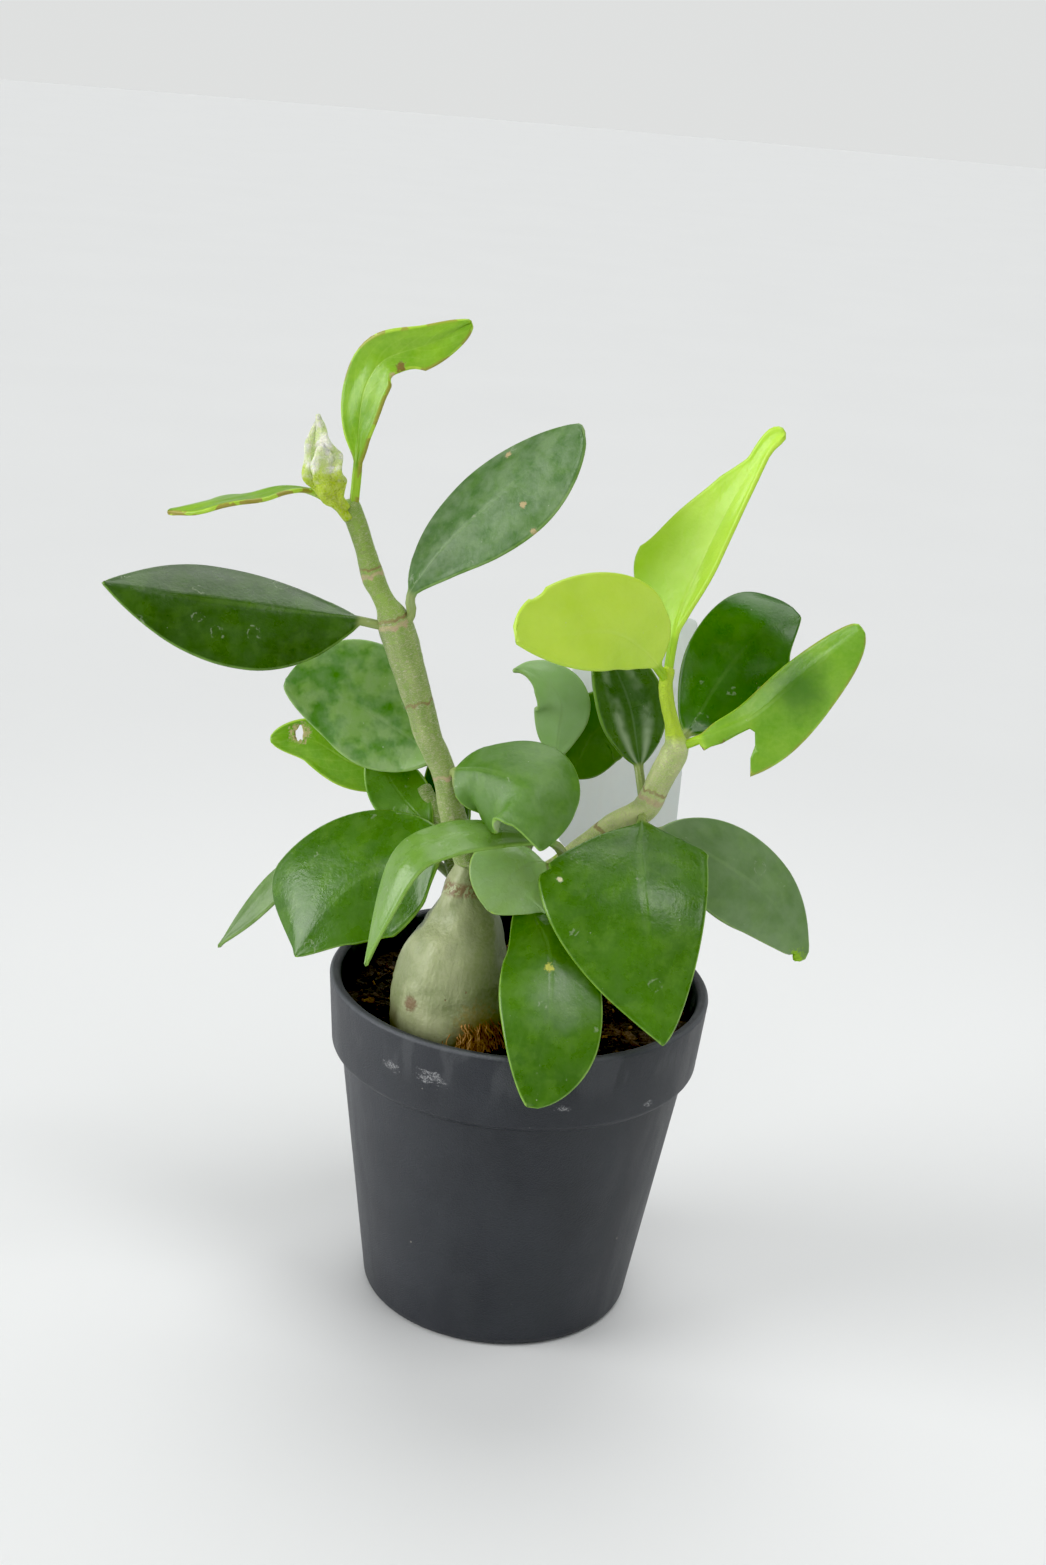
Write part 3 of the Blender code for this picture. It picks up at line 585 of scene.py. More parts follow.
rings_group, dial = new_group("water_rings", {"Place": ("Vector", (0, 0, 0)),
                                              "Spacing": ("Float", 6.0),
                                              "Ring size": ("Float", 1.2),
                                              "Line": ("Float", 0.25), "Amount": ("Float", 0.3)})
stray = node_of(rings_group, "ShaderNodeTexNoise", {"Vector": dial["Place"], "Scale": 0.45})
stray = arrows(rings_group, "SCALE", out(stray, "Color"), scale=2.6)
wobble = noise_wire(rings_group, dial["Place"], 0.8, 2.0) * 0.8 + 0.6
reach, tint = voronoi(rings_group, arrows(rings_group, "ADD", dial["Place"], stray),
                      1.0 / dial["Spacing"])
tint_x, tint_y, tint_z = split_xyz(rings_group, tint)
ring_radius = dial["Ring size"] * (tint_y * 0.7 + 0.6) * wobble
from_ring = (reach * dial["Spacing"] - ring_radius).abs()
broken = noise_wire(rings_group, dial["Place"], 0.9, 2.0).ramp(0.48, 0.60)
ring_line = (1.0 - from_ring / dial["Line"]).clamped() * (1.0 - tint_x).above(1.0 - dial["Amount"])
end_group(rings_group, ring_line * broken)

scar_group, dial = new_group("scar", {"Place": ("Vector", (0, 0, 0)), "Centre": ("Vector", (0, 0, 0)),
                                      "Reach": ("Float", 2.0), "Raggedness": ("Float", 0.5)})
from_centre = arrows(scar_group, "DISTANCE", dial["Place"], dial["Centre"])
ragged = (noise_wire(scar_group, dial["Place"], 1.1, 3.0, 0.7) - 0.5) * 2.0 * dial["Raggedness"]
edge = 1.0 - (from_centre / dial["Reach"]) + ragged
end_group(scar_group, (edge * 2.5).clamped())

veil_group, dial = new_group("veil", {"Place": ("Vector", (0, 0, 0)), "Centre": ("Vector", (0, 0, 0)),
                                      "Reach": ("Float", 6.0)})
nearness = (1.0 - arrows(veil_group, "DISTANCE", dial["Place"], dial["Centre"]) / dial["Reach"])
cloud = noise_wire(veil_group, dial["Place"], 0.25, 2.0)
nearness = (nearness + cloud * 0.6 - 0.3).clamped()
end_group(veil_group, nearness * nearness * (3.0 - nearness * 2.0))

# %% [markdown]
# Side veins leave the midrib at a slant and bend towards the tip. On these waxy leaves
# they only show faintly, so the group gives a soft mask. It works on the stored values
# along and across, which run with the leaf wherever it bends.

# %% Shader groups: veins
veins_group, dial = new_group("side_veins", {"Along": ("Float", 0.0), "Across": ("Float", 0.0),
                                             "Count": ("Float", 9.0), "Slant": ("Float", 0.35),
                                             "Line": ("Float", 0.12)})
across_size = dial["Across"].abs()
phase = (dial["Along"] - across_size ** 1.4 * dial["Slant"]) * dial["Count"]
phase = phase + (dial["Across"].above(0.0)) * 0.37
saw = (phase.math("FRACT") - 0.5).abs()
vein = saw.math("SUBTRACT", 0.5 - dial["Line"]) / dial["Line"]
fading = across_size.ramp(0.95, 0.5) * dial["Along"].ramp(0.0, 0.08)
end_group(veins_group, vein.clamped() * fading)
print("shader groups:", [group.name for group in bpy.data.node_groups if group.type == "SHADER"])

# %% [markdown]
# A finish starts from the object's own coordinates, turned into millimetres. The helpers
# below make an empty material with its Principled shader, mix colours by a mask, and end
# the material with a bump. Numbers that are the same all over a surface go straight to the
# shader's sockets.

# %% Materials: shared helpers
def new_material(name, **constants):
    """A material with its tree, shader and place in mm."""
    material = bpy.data.materials.new(name)
    material.use_nodes = True
    tree = material.node_tree
    shader = tree.nodes["Principled BSDF"]
    for label, value in constants.items():
        shader.inputs[label.replace("_", " ")].default_value = value
    coordinates = node_of(tree, "ShaderNodeTexCoord")
    place = arrows(tree, "SCALE", out(coordinates, "Object"), scale=1000.0)
    return material, tree, shader, place


def mix_colours(tree, share, a, b):
    node = tree.nodes.new("ShaderNodeMix")
    node.data_type = "RGBA"
    plug(tree, share, node.inputs[0])
    for index, value in ((6, a), (7, b)):
        plug(tree, value if isinstance(value, Wire) else (*value, 1.0), node.inputs[index])
    return Wire(tree, node.outputs[2])


def stored(tree, label, vector=False):
    node = node_of(tree, "ShaderNodeAttribute", attribute_name=label)
    return out(node, "Vector" if vector else "Fac")


def end_material(tree, shader, colour, roughness, height, depth_mm):
    """Plug colour and roughness, and let a height in 0..1 raise a bump of depth_mm."""
    plug(tree, colour, shader.inputs["Base Color"])
    plug(tree, roughness, shader.inputs["Roughness"])
    bump = node_of(tree, "ShaderNodeBump", {"Height": height, "Distance": depth_mm * MM})
    plug(tree, out(bump), shader.inputs["Normal"])


# %% [markdown]
# Leaves share one recipe with different colours. The blade runs from a deep to a middle
# green in soft clouds, the midrib and the rim are paler, the underside is duller, and a
# thin wax bloom, water rings and dust lie on top. Young leaves are lit through, which a
# little subsurface light gives. Marks are single scars or healed tears at known places,
# except the pale mark on leaf_front_right, which is a painted highlight. The pale stripes
# on leaf_mid_right and the soft veil on leaf_low_front are painted sheen.

# %% Materials: the leaf recipe
LEAF_LOOKS = {
    "leaf_dark": dict(deep=(0.022, 0.068, 0.002), green=(0.032, 0.098, 0.003),
                      pale=(0.13, 0.25, 0.04), rim=(0.15, 0.30, 0.03), under=(0.09, 0.20, 0.02),
                      bloom=0.02, rings=0.35, veins=0.02, midrib=0.20, gloss=0.27, soft=0.02),
    "leaf_green": dict(deep=(0.040, 0.130, 0.004), green=(0.062, 0.178, 0.007),
                       pale=(0.20, 0.38, 0.06), rim=(0.26, 0.48, 0.06), under=(0.15, 0.31, 0.03),
                       bloom=0.025, rings=0.20, veins=0.02, midrib=0.14, gloss=0.25, soft=0.03),
    "leaf_grey": dict(deep=(0.090, 0.190, 0.030), green=(0.125, 0.245, 0.045),
                      pale=(0.25, 0.40, 0.14), rim=(0.26, 0.45, 0.09), under=(0.18, 0.33, 0.06),
                      bloom=0.16, rings=0.25, veins=0.02, midrib=0.25, gloss=0.34, soft=0.03),
    "leaf_young": dict(deep=(0.43, 0.74, 0.035), green=(0.54, 0.84, 0.07),
                       pale=(0.60, 0.80, 0.16), rim=(0.50, 0.72, 0.06), under=(0.42, 0.66, 0.05),
                       bloom=0.02, rings=0.0, veins=0.08, midrib=0.18, gloss=0.33, soft=0.12,
                       stalk_tone=(0.36, 0.60, 0.03)),
}
# pale grey-green for the wax bloom, and for the painted sheen of the stripes on leaf_mid_right and the
# veil on leaf_low_front
WAX_BLOOM_AND_SHEEN = (0.36, 0.46, 0.30)
DUST = (0.55, 0.60, 0.45)
STALK = (0.30, 0.38, 0.12)
BROWN = (0.20, 0.085, 0.025)
DRY = (0.55, 0.42, 0.22)


def leaf_finish(name, family, marks=(), **changes):
    """A leaf's material. marks: (centre in mm, reach in mm, colour); veils, which are soft and
    flat: (centre, reach, colour, strength)."""
    look = dict(LEAF_LOOKS[family], **changes)
    material, tree, shader, place = new_material(
        name + "_finish", Specular_IOR_Level=0.50, Subsurface_Weight=look["soft"],
        Subsurface_Radius=(0.6, 1.0, 0.1), Subsurface_Scale=0.002)
    along, across = stored(tree, "along"), stored(tree, "across")
    rim_mm, under = stored(tree, "rim_mm"), stored(tree, "under")

    clouds = use_group(tree, mottle_group, Place=place, Size=look.get("patch", 11.0),
                       Sharpness=look.get("patchy", 1.2))
    grain = use_group(tree, mottle_group, Place=place, Size=0.9, Sharpness=1.5)
    colour = mix_colours(tree, clouds, look["deep"], look["green"])
    colour = mix_colours(tree, grain * 0.08, colour, look["pale"])
    sunny = use_group(tree, mottle_group, Place=place, Size=5.0, Sharpness=2.2)
    colour = mix_colours(tree, sunny.ramp(0.40, 1.0) * 0.10, colour, look["rim"])
    veins = use_group(tree, veins_group, Along=along, Across=across, Count=8.0, Line=0.12)
    colour = mix_colours(tree, veins * look["veins"], colour, look["pale"])
    midrib = across.abs().ramp(0.06, 0.012) * along.ramp(0.95, 0.35)
    colour = mix_colours(tree, midrib * look["midrib"], colour, look["pale"])
    colour = mix_colours(tree, under.ramp(0.4, 0.6) * 0.85, colour, look["under"])
    # painted sheen: pale bands either side of the midrib stand in for gloss on the swellings between the
    # veins
    if "painted_sheen_stripe" in look:
        painted_sheen_stripe = (across.abs() - 0.42).abs().ramp(0.26, 0.0) * clouds.ramp(0.2, 0.7)
        colour = mix_colours(tree, painted_sheen_stripe * look["painted_sheen_stripe"], colour, WAX_BLOOM_AND_SHEEN)
    stalk = along.ramp(0.035, 0.0)
    colour = mix_colours(tree, stalk, colour, look.get("stalk_tone", STALK))
    film = use_group(tree, mottle_group, Place=place, Size=4.5, Sharpness=2.0)
    rim = rim_mm.ramp(0.65, 0.25) * (1.0 - stalk) * (film * 0.5 + 0.5)
    colour = mix_colours(tree, rim * 0.85, colour, look["rim"])
    burnt = rim_mm.ramp(0.9, 0.1) * sunny.ramp(0.50, 0.62) * look.get("burnt", 0.0)
    colour = mix_colours(tree, burnt, colour, (0.30, 0.14, 0.04))

    colour = mix_colours(tree, film * look["bloom"], colour, WAX_BLOOM_AND_SHEEN)
    rings = use_group(tree, rings_group, Place=place, Spacing=6.0, Ring_size=1.3, Line=0.25,
                      Amount=look["rings"])
    dots = use_group(tree, specks_group, Place=place, Spacing=2.8, Speck_size=0.17, Amount=0.30)
    # veils paint soft patches of colour; the veil on leaf_low_front is painted sheen
    for centre, reach, tint, strength in look.get("veils", ()):
        veil = use_group(tree, veil_group, Place=place, Centre=centre, Reach=reach)
        colour = mix_colours(tree, veil * strength, colour, tint)
    fine_dust = use_group(tree, specks_group, Place=place, Spacing=1.5, Speck_size=0.10,
                          Amount=0.22)
    colour = mix_colours(tree, rings * 0.30, colour, DUST)
    colour = mix_colours(tree, dots * 0.6 + fine_dust * 0.4, colour, DUST)
    scars = under * 0.0
    for centre, reach, tint in marks:
        scar = use_group(tree, scar_group, Place=place, Centre=centre, Reach=reach, Raggedness=1.3)
        colour = mix_colours(tree, scar * 0.85, colour, tint)
        scars = scars.most(scar)

    roughness = film * 0.08 + look["gloss"] + rings * 0.12 + dots * 0.2 + scars * 0.35 + under * 0.08
    height = grain * 0.10 + clouds * 0.35 + 0.3 - midrib * 0.20 - veins * 0.03 - scars * 0.3
    end_material(tree, shader, colour, roughness, height, 0.25)
    return material


print("leaf families:", list(LEAF_LOOKS))

# %% [markdown]
# The list of leaves repeats the points of the engineering model: midrib points
# in millimetres from the stem outwards, the way the upper side faces, and the widths of
# the left and right half. The order is from the tip of the left stem to its foot, then the
# right stem, then the two short shoots behind.

# %% The leaves and their shapes
LEFT_MID, LEFT_HIGH = (-21, -9, 133), (-34, -7, 165)
RIGHT_MID, RIGHT_HIGH = (25, -4, 127), (31, -3, 142)

LEAVES = {
    "leaf_top_right": dict(
        family="leaf_young", halves=(6, 6), stalk=11, widest=(0.42, 0.45), base=(1.1, 0.9),
        tip=(0.6, 0.4), fold=10, wave=0.6, uneven=0.7, bite=(1, 0.60, 0.12, 0.30),
        rib=[(-45.5, -5, 188), (-45, -5, 200), (-45, -4, 209), (-44, -3, 217.5),
             (-40.5, -3, 223.5), (-31, -4, 228), (-22.5, -5, 233.5)],
        face=[(-0.4, -1, 0.2), (-0.6, -1, 0.2), (-0.2, -1, -0.2)],
        marks=[((-37.0, -5.0, 222.5), 1.3, BROWN), ((-38.5, -5.7, 220.6), 0.8, DRY),
               ((-46.5, -3.0, 212), 0.7, DRY)],
        look=dict(deep=(0.15, 0.36, 0.003), green=(0.26, 0.50, 0.02), burnt=0.6)),
    "leaf_top_left": dict(
        family="leaf_young", halves=(7, 7), stalk=10, widest=(0.55, 0.7), base=0.8, tip=0.7,
        cup=10, wave=0.6, uneven=0.6,
        rib=[(-44, -5, 187), (-49, -5.5, 191.5), (-54, -6, 194), (-61, -8, 194.5),
             (-70, -10, 192), (-85, -12, 188)],
        face=[(0, 0.15, 1), (0, 0.10, 1), (0, 0.05, 1)],
                look=dict(deep=(0.12, 0.30, 0.004), green=(0.24, 0.46, 0.02), burnt=0.7)),
    "leaf_upper_left": dict(
        family="leaf_dark", halves=(14.5, 12), stalk=8, widest=(0.42, 0.62), base=(0.7, 0.9),
        tip=0.9, fold=(-14, -8), cup=14,
        rib=[LEFT_HIGH, (-44, -9, 167), (-60, -10, 168), (-80, -11, 169), (-99, -12, 171)],
        face=[(0, -1, 1.2)] * 3,
        look=dict(rings=0.55)),
    "leaf_upper_right": dict(
        family="leaf_grey", halves=(12, 12.5), stalk=11, widest=(0.5, 0.6), base=(0.8, 0.9),
        tip=(0.7, 0.55), fold=-6, cup=10, tip_width=3,
        rib=[(-34, -7, 163), (-31, -8, 169), (-31, -8, 174), (-24, -6, 185), (-11, -4, 199),
             (3, -2, 213)],
        face=[(-0.3, -1, 1), (-0.45, -1, 1), (-0.6, -1, 1)],
        marks=[((-8.3, -7.8, 195.6), 0.9, DRY), ((-5.2, -11.1, 190.6), 1.1, DRY),
               ((-12.8, 2.9, 204.2), 0.9, DRY)],
        look=dict(deep=(0.060, 0.150, 0.030), green=(0.090, 0.200, 0.050), bloom=0.3)),
    "leaf_behind_stem": dict(
        family="leaf_grey", halves=(12, 16), stalk=10, widest=(0.45, 0.55), base=(0.6, 1.2),
        tip=(0.7, 0.6), cup=15,
        rib=[LEFT_MID, (-24, 1, 133), (-33, 7, 137), (-46, 11, 142), (-61, 12, 144)],
        face=[(0, -1, 0.5), (0, -1, 0.45), (0, -1, 0.4)],
        look=dict(deep=(0.060, 0.210, 0.006), green=(0.190, 0.350, 0.075), patch=6.0, patchy=3.2,
                  bloom=0.22)),
    "leaf_front_centre": dict(
        family="leaf_green", halves=(14, 13), stalk=4, widest=(0.5, 0.4), base=(0.7, 0.35),
        tip=(0.8, 0.9), fold=(-5, -10), cup=(25, 100), cup_tip=(25, 5), uneven=0.3,
        rib=[LEFT_MID, (-13, -16, 137), (-3, -24, 137), (1, -29, 132), (2, -32, 125)],
        face=[(-0.2, -1, 1), (0.1, -1, 0.9), (0.4, -1, 0.3)],
        look=dict(deep=(0.070, 0.180, 0.016), green=(0.100, 0.230, 0.030), bloom=0.10, gloss=0.40,
                  rings=0.5,
                  under=(0.40, 0.52, 0.26))),
    "leaf_lower_left": dict(
        family="leaf_green", halves=(16, 20), stalk=6, widest=(0.4, 0.71), base=(0.6, 0.4),
        tip=(0.8, 1.3), fold=(-10, 0), cup=(10, 18),
        rib=[(-15, -12, 116), (-25, -9, 112), (-38, -8, 106), (-47, -11, 97), (-52, -14, 87)],
        face=[(0, -1, 1.2), (-0.3, -1, 1), (-0.8, -1, 0.5)],
        marks=[((-26.7, -10, 117), 1.5, (0.10, 0.20, 0.12))]),
    "leaf_young_up": dict(
        family="leaf_young", halves=(16, 4.5), stalk=10, widest=(0.27, 0.4), base=0.8,
        tip=(2.0, 0.6), bite=(-1, 0.5, 0.2, 0.12), fold=(0, 20), tip_width=5,
        rib=[(27, -4, 157), (28, -2, 170), (32, 0, 183), (38, 2, 199), (44, 3, 211.5),
             (47.5, 2.5, 214.5)],
        face=[(-0.6, -1, 0.1), (-0.6, -1, 0.15), (-0.6, -1, 0.2)]),
    "leaf_young_front": dict(
        family="leaf_young", halves=(8.5, 13), stalk=6, widest=(0.5, 0.4), base=(0.7, 0.5),
        tip=(0.8, 0.32), bite=(1, 0.84, 0.05, 0.08),
        rib=[(27, -4, 158), (20, -12, 167), (11, -20, 172), (-7, -33, 171.5)],
        face=[(0.2, -1, 0.3)] * 3,
        look=dict(deep=(0.52, 0.74, 0.060), green=(0.60, 0.82, 0.09), veins=0.05)),
    "leaf_back_right": dict(
        family="leaf_dark", halves=(13, 12.5), stalk=5, widest=(0.75, 0.5), tip=(0.3, 0.8), cup=20,
        rib=[RIGHT_HIGH, (35, 4, 147), (41, 8, 158), (49, 10, 168), (57, 14, 171)],
        face=[(-0.3, -1, 0.4), (0, -1, 0.5), (0, -0.5, 1)],
        look=dict(deep=(0.025, 0.110, 0.001), green=(0.040, 0.160, 0.002))),
    "leaf_notched": dict(
        family="leaf_young", halves=(4.5, 12), stalk=6, widest=(0.5, 0.18), base=(0.5, 0.4),
        tip=(0.3, 0.5), fold=(0, -12), cup=10, tip_width=1,
        rib=[RIGHT_HIGH, (39, -5, 147), (47, -6, 152), (56.5, -8, 163), (68, -10, 175.5)],
        face=[(-0.2, -1, 0.7), (-0.15, -1, 0.7), (-0.1, -1, 0.7)],
        marks=[((36.5, -6.4, 142.9), 0.8, DRY), ((40.5, -7.4, 145.6), 1.0, BROWN),
               ((44.5, -8.4, 148.4), 1.2, DRY), ((47.8, -9.0, 149.4), 1.0, BROWN),
               ((51.5, -14.0, 145.6), 1.2, DRY), ((52.6, -14.0, 147.2), 0.7, BROWN)],
        look=dict(deep=(0.13, 0.34, 0.008), green=(0.22, 0.44, 0.03), rim=(0.40, 0.62, 0.06), midrib=0.05,
                  veils=[((56.0, -9.0, 160.5), 11.0, (0.04, 0.15, 0.008), 0.8)],
                  veins=0.0, burnt=0.4)),
    "leaf_mid_right": dict(
        family="leaf_dark", halves=(8.5, 8.5), stalk=11, widest=0.4, tip=0.9, fold=12,
        rib=[RIGHT_MID, (23, 4, 135), (20, 7, 147), (15, 9, 157), (10, 10, 166)],
        face=[(0.3, -1, 0.2), (0.3, -1, 0.25), (0.3, -1, 0.3)],
        # the stripes on this leaf are painted sheen
        look=dict(deep=(0.035, 0.100, 0.010), green=(0.050, 0.130, 0.014), veins=0.0,
                  pale=(0.24, 0.36, 0.20), painted_sheen_stripe=0.8)),
    "leaf_front_right": dict(
        family="leaf_green", halves=(16.5, 23), stalk=5, widest=(0.09, 0.3), base=(1.3, 1.6),
        tip=(0.7, 1.0), fold=-4, cup=10,
        rib=[RIGHT_MID, (24, -16, 123), (26, -30, 114), (29, -39, 100), (32.3, -44, 87)],
        # painted highlight: the pale mark on the left lobe
        marks=[((7.0, -25.7, 116.3), 0.9, (0.72, 0.68, 0.46))], bite=(1, 0.25, 0.02, 0.07),
        face=[(0.1, -1, 1.2), (0.15, -1, 0.3), (0, -1, 0.2)]),
    "leaf_far_right": dict(
        family="leaf_grey", halves=(11.5, 12), stalk=9, cup=20,
        rib=[(20, -5, 124), (30, -3, 121), (43, 0, 115), (56, 2, 106), (65, 2, 94), (64, 1, 91)],
        face=[(0, -1, 1), (0.15, -1, 0.9), (0.3, -1, 0.8)],
        marks=[((64.8, 0.6, 91.5), 2.6, (0.30, 0.55, 0.02))],
        # painted sheen: the pale bluish greens of this leaf stand in for its sheen
        look=dict(deep=(0.125, 0.225, 0.075), green=(0.160, 0.275, 0.100))),
    "leaf_front_curved": dict(
        family="leaf_green", halves=(5.5, 6.5), stalk=8, widest=0.5, base=0.8, tip=0.9, cup=20,
        rib=[(8, -8, 114), (5, -13, 120), (-6, -20, 124), (-19, -27, 124), (-28, -32, 118),
             (-34, -36, 96)],
        face=[(0, -0.6, 1), (-0.3, -0.5, 1), (-1, -0.5, 0.4)],
        look=dict(deep=(0.14, 0.29, 0.04), green=(0.19, 0.36, 0.07), bloom=0.15)),
    "leaf_front_short": dict(
        family="leaf_grey", halves=(12, 10.5), stalk=5, widest=0.5, tip=0.7, cup=(24, 30),
        rib=[(5, -9, 112), (1, -16, 116), (-4, -21, 114), (-8, -25, 107)],
        face=[(0.2, -0.6, 1), (0.3, -0.8, 0.85), (0.3, -1, 0.75)],
        # painted light: these light greens lift this leaf out of its shade and stand in for its highlight
        look=dict(deep=(0.32, 0.54, 0.15), green=(0.42, 0.66, 0.26), gloss=0.22, rim=(0.42, 0.68, 0.05))),
    "leaf_low_front": dict(
        family="leaf_green", halves=(12, 11.5), stalk=7, widest=(0.68, 0.5), base=0.8,
        tip=(0.5, 0.8), cup=12,
        rib=[(0, -9, 109), (1, -20, 107), (6, -31, 101), (7, -42.5, 90), (4, -51, 73)],
        face=[(0, -1, 1), (0, -1, 0.65), (0, -1, 0.3)],
        marks=[((6.3, -34.4, 98.8), 1.3, (0.60, 0.60, 0.10))],
        # painted sheen: a soft pale veil on the right of the blade
        look=dict(veils=[((9.0, -38.0, 93.0), 11.0, WAX_BLOOM_AND_SHEEN, 0.35)])),
    "leaf_young_left": dict(
        family="leaf_young", halves=(6.5, 6), stalk=8, widest=(0.5, 0.55), base=0.8, tip=0.5, cup=10,
        rib=[(-25, 6, 121.5), (-34, 17, 122), (-45, 20, 124), (-55, 22, 128), (-65, 23, 127)],
        face=[(0, -1, 0.3), (0, -1, 0.25), (0, -1, 0.2)],
        marks=[((-57.8, 22.4, 129.3), 2.6, DRY)],
        look=dict(deep=(0.12, 0.33, 0.002), green=(0.18, 0.42, 0.004))),
    "leaf_shoot_left": dict(
        family="leaf_green", halves=(7, 7), stalk=4, cup=15,
        rib=[(-20, 1, 114), (-25, 2, 117), (-31, 6, 121), (-36, 9, 127), (-38, 12, 133)],
        face=[(-0.2, -1, 0.4), (-0.1, -1, 0.45), (0, -1, 0.5)],
        look=dict(deep=(0.055, 0.175, 0.005), green=(0.085, 0.225, 0.010))),
    "leaf_dark_left": dict(
        family="leaf_dark", halves=(5.5, 5.5), stalk=8, cup=15,
        rib=[(-17, -4, 109), (-18, 5, 113), (-21, 11, 119), (-25, 14, 130)],
        face=[(-0.2, -1, 0.4), (-0.1, -1, 0.45), (0, -1, 0.5)]),
    "leaf_far_left": dict(
        family="leaf_grey", halves=(4.5, 4.5), stalk=12, widest=0.7, base=0.8, tip=1, cup=20,
        rib=[(-16, -7, 106), (-23, 4, 107), (-35, 13, 109), (-48, 17, 105), (-61, 19, 92),
             (-75, 19, 73)],
        face=[(-0.3, -0.5, 1), (-0.3, -0.55, 1), (-0.3, -0.6, 1)]),
    "leaf_back_curled": dict(
        family="leaf_grey", halves=(6.5, 7), stalk=8, widest=(0.4, 0.5), tip=(1.3, 0.9), cup=10,
        rib=[(4, 10, 124), (4, 14, 136), (4, 14, 145), (0, 14, 150), (-4, 14, 152), (-8, 14, 152)],
        face=[(0, -1, 0.2), (0, -1, 0.5), (0.2, -0.8, 1)],
        # painted light: these pale greens paint this leaf's sheen and lift it out of its shade
        look=dict(deep=(0.26, 0.47, 0.14), green=(0.34, 0.56, 0.22), veins=0.0)),
    "leaf_back_dark": dict(
        family="leaf_dark", halves=(9, 9), stalk=9, base=0.6, tip=0.7, cup=10,
        rib=[(3, 9, 121), (9, 16, 130), (13, 18, 138), (20, 19, 140), (27, 20, 141)],
        face=[(0, -1, 0.2), (0, -1, 0.25), (0, -1, 0.3)],
        look=dict(deep=(0.045, 0.155, 0.001), green=(0.070, 0.200, 0.002), gloss=0.4, rings=0.0)),
}
print("leaves in the list:", len(LEAVES))


# %% [markdown]
# Growing a leaf is now short: chain its midrib points, set the dials, run the tree, and
# hide the frame's solid that it stands for. Values that are the same on both halves are
# written once in the list, and the helper doubles them.

# %% Grow the leaves
def halves_of(value, scale=1.0):
    left, right = value if isinstance(value, tuple) else (value, value)
    return (left * scale, right * scale, 0.0)


def grow_blade(name, material, seed, rib, face, halves, stalk=5, widest=0.45, base=0.7, tip=0.8,
               fold=0, cup=0, cup_tip=None, wave=0, waves=2, bite=(0, 0.5, 0.1, 0), tip_width=0.8,
               uneven=0.4, thick=0.9, rows=57, columns=27):
    """One blade from its sizes in mm and degrees."""
    dials = {
        "Rows": rows, "Columns": columns, "Half widths": halves_of(halves, MM),
        "Widest at": halves_of(widest), "Base fullness": halves_of(base),
        "Tip fullness": halves_of(tip), "Fold": halves_of(fold), "Cup at base": halves_of(cup),
        "Cup at tip": halves_of(cup if cup_tip is None else cup_tip), "Stalk": stalk * MM,
        "Tip width": tip_width * MM, "Wave height": wave * MM, "Wave count": float(waves),
        "Bite side": float(bite[0]), "Bite place": bite[1], "Bite reach": bite[2],
        "Bite depth": float(bite[3]), "Face at base": Vector(face[0]).normalized(),
        "Face in middle": Vector(face[1]).normalized(), "Face at tip": Vector(face[2]).normalized(),
        "Unevenness": uneven * MM, "Seed": seed * 7.31, "Blade thickness": thick * MM,
        "Material": material,
    }
    return run_tree(name, thread(name + "_rib", rib), leaf_tree, dials)


def settle(piece, slot, *nodes):
    """Ride on the one body and stand for the nodes, which are hidden. The slot is not used."""
    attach(piece, "root")
    if nodes:
        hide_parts(*nodes)
    return piece


leaf_pieces = {}
for seed, (name, values) in enumerate(LEAVES.items()):
    shape = dict(values)
    family = shape.pop("family")
    material = leaf_finish(name, family, shape.pop("marks", ()), **shape.pop("look", {}))
    leaf_pieces[name] = grow_blade(name + "_blade", material, seed, **shape)
print("blades:", len(leaf_pieces), "faces each:", len(leaf_pieces["leaf_far_left"].data.polygons))

# %% [markdown]
# One young leaf behind has a small hole that something has eaten, and the leaf on the right
# has lost a strip of its blade between its stalk and its lobe. Both cuts go through both
# faces, so a Boolean with a straight plug makes them after the blade is grown. The plug's
# outline wobbles a little, because no insect cuts a clean oval.

# %% The hole and the notch
def new_piece(name, mesh, material=None):
    piece = bpy.data.objects.new(name, mesh)
    bpy.context.scene.collection.objects.link(piece)
    if material:
        mesh.materials.append(material)
    return piece


def cut_away(piece, outline, direction, depth):
    """Cut a plug out of the piece: an outline in mm, pushed both ways along a direction."""
    push = Vector(direction).normalized() * depth
    corners = [Vector(corner) + push for corner in outline]
    corners += [Vector(corner) - push for corner in outline]
    count = len(outline)
    sides = [(k, (k + 1) % count, count + (k + 1) % count, count + k) for k in range(count)]
    mesh = bpy.data.meshes.new("plug")
    mesh.from_pydata([corner * MM for corner in corners], [],
                     sides + [tuple(range(count)), tuple(range(2 * count - 1, count - 1, -1))])
    bm = bmesh.new()
    bm.from_mesh(mesh)
    bmesh.ops.recalc_face_normals(bm, faces=bm.faces)
    bm.to_mesh(mesh)
    bm.free()
    cutter = new_piece("plug", mesh)
    modifier = piece.modifiers.new("cut", "BOOLEAN")
    modifier.operation = "DIFFERENCE"
    modifier.solver = "EXACT"
    modifier.object = cutter
    depsgraph = bpy.context.evaluated_depsgraph_get()
    result = bpy.data.meshes.new_from_object(piece.evaluated_get(depsgraph))
    piece.modifiers.remove(modifier)
    piece.data = result
    bpy.data.objects.remove(cutter)


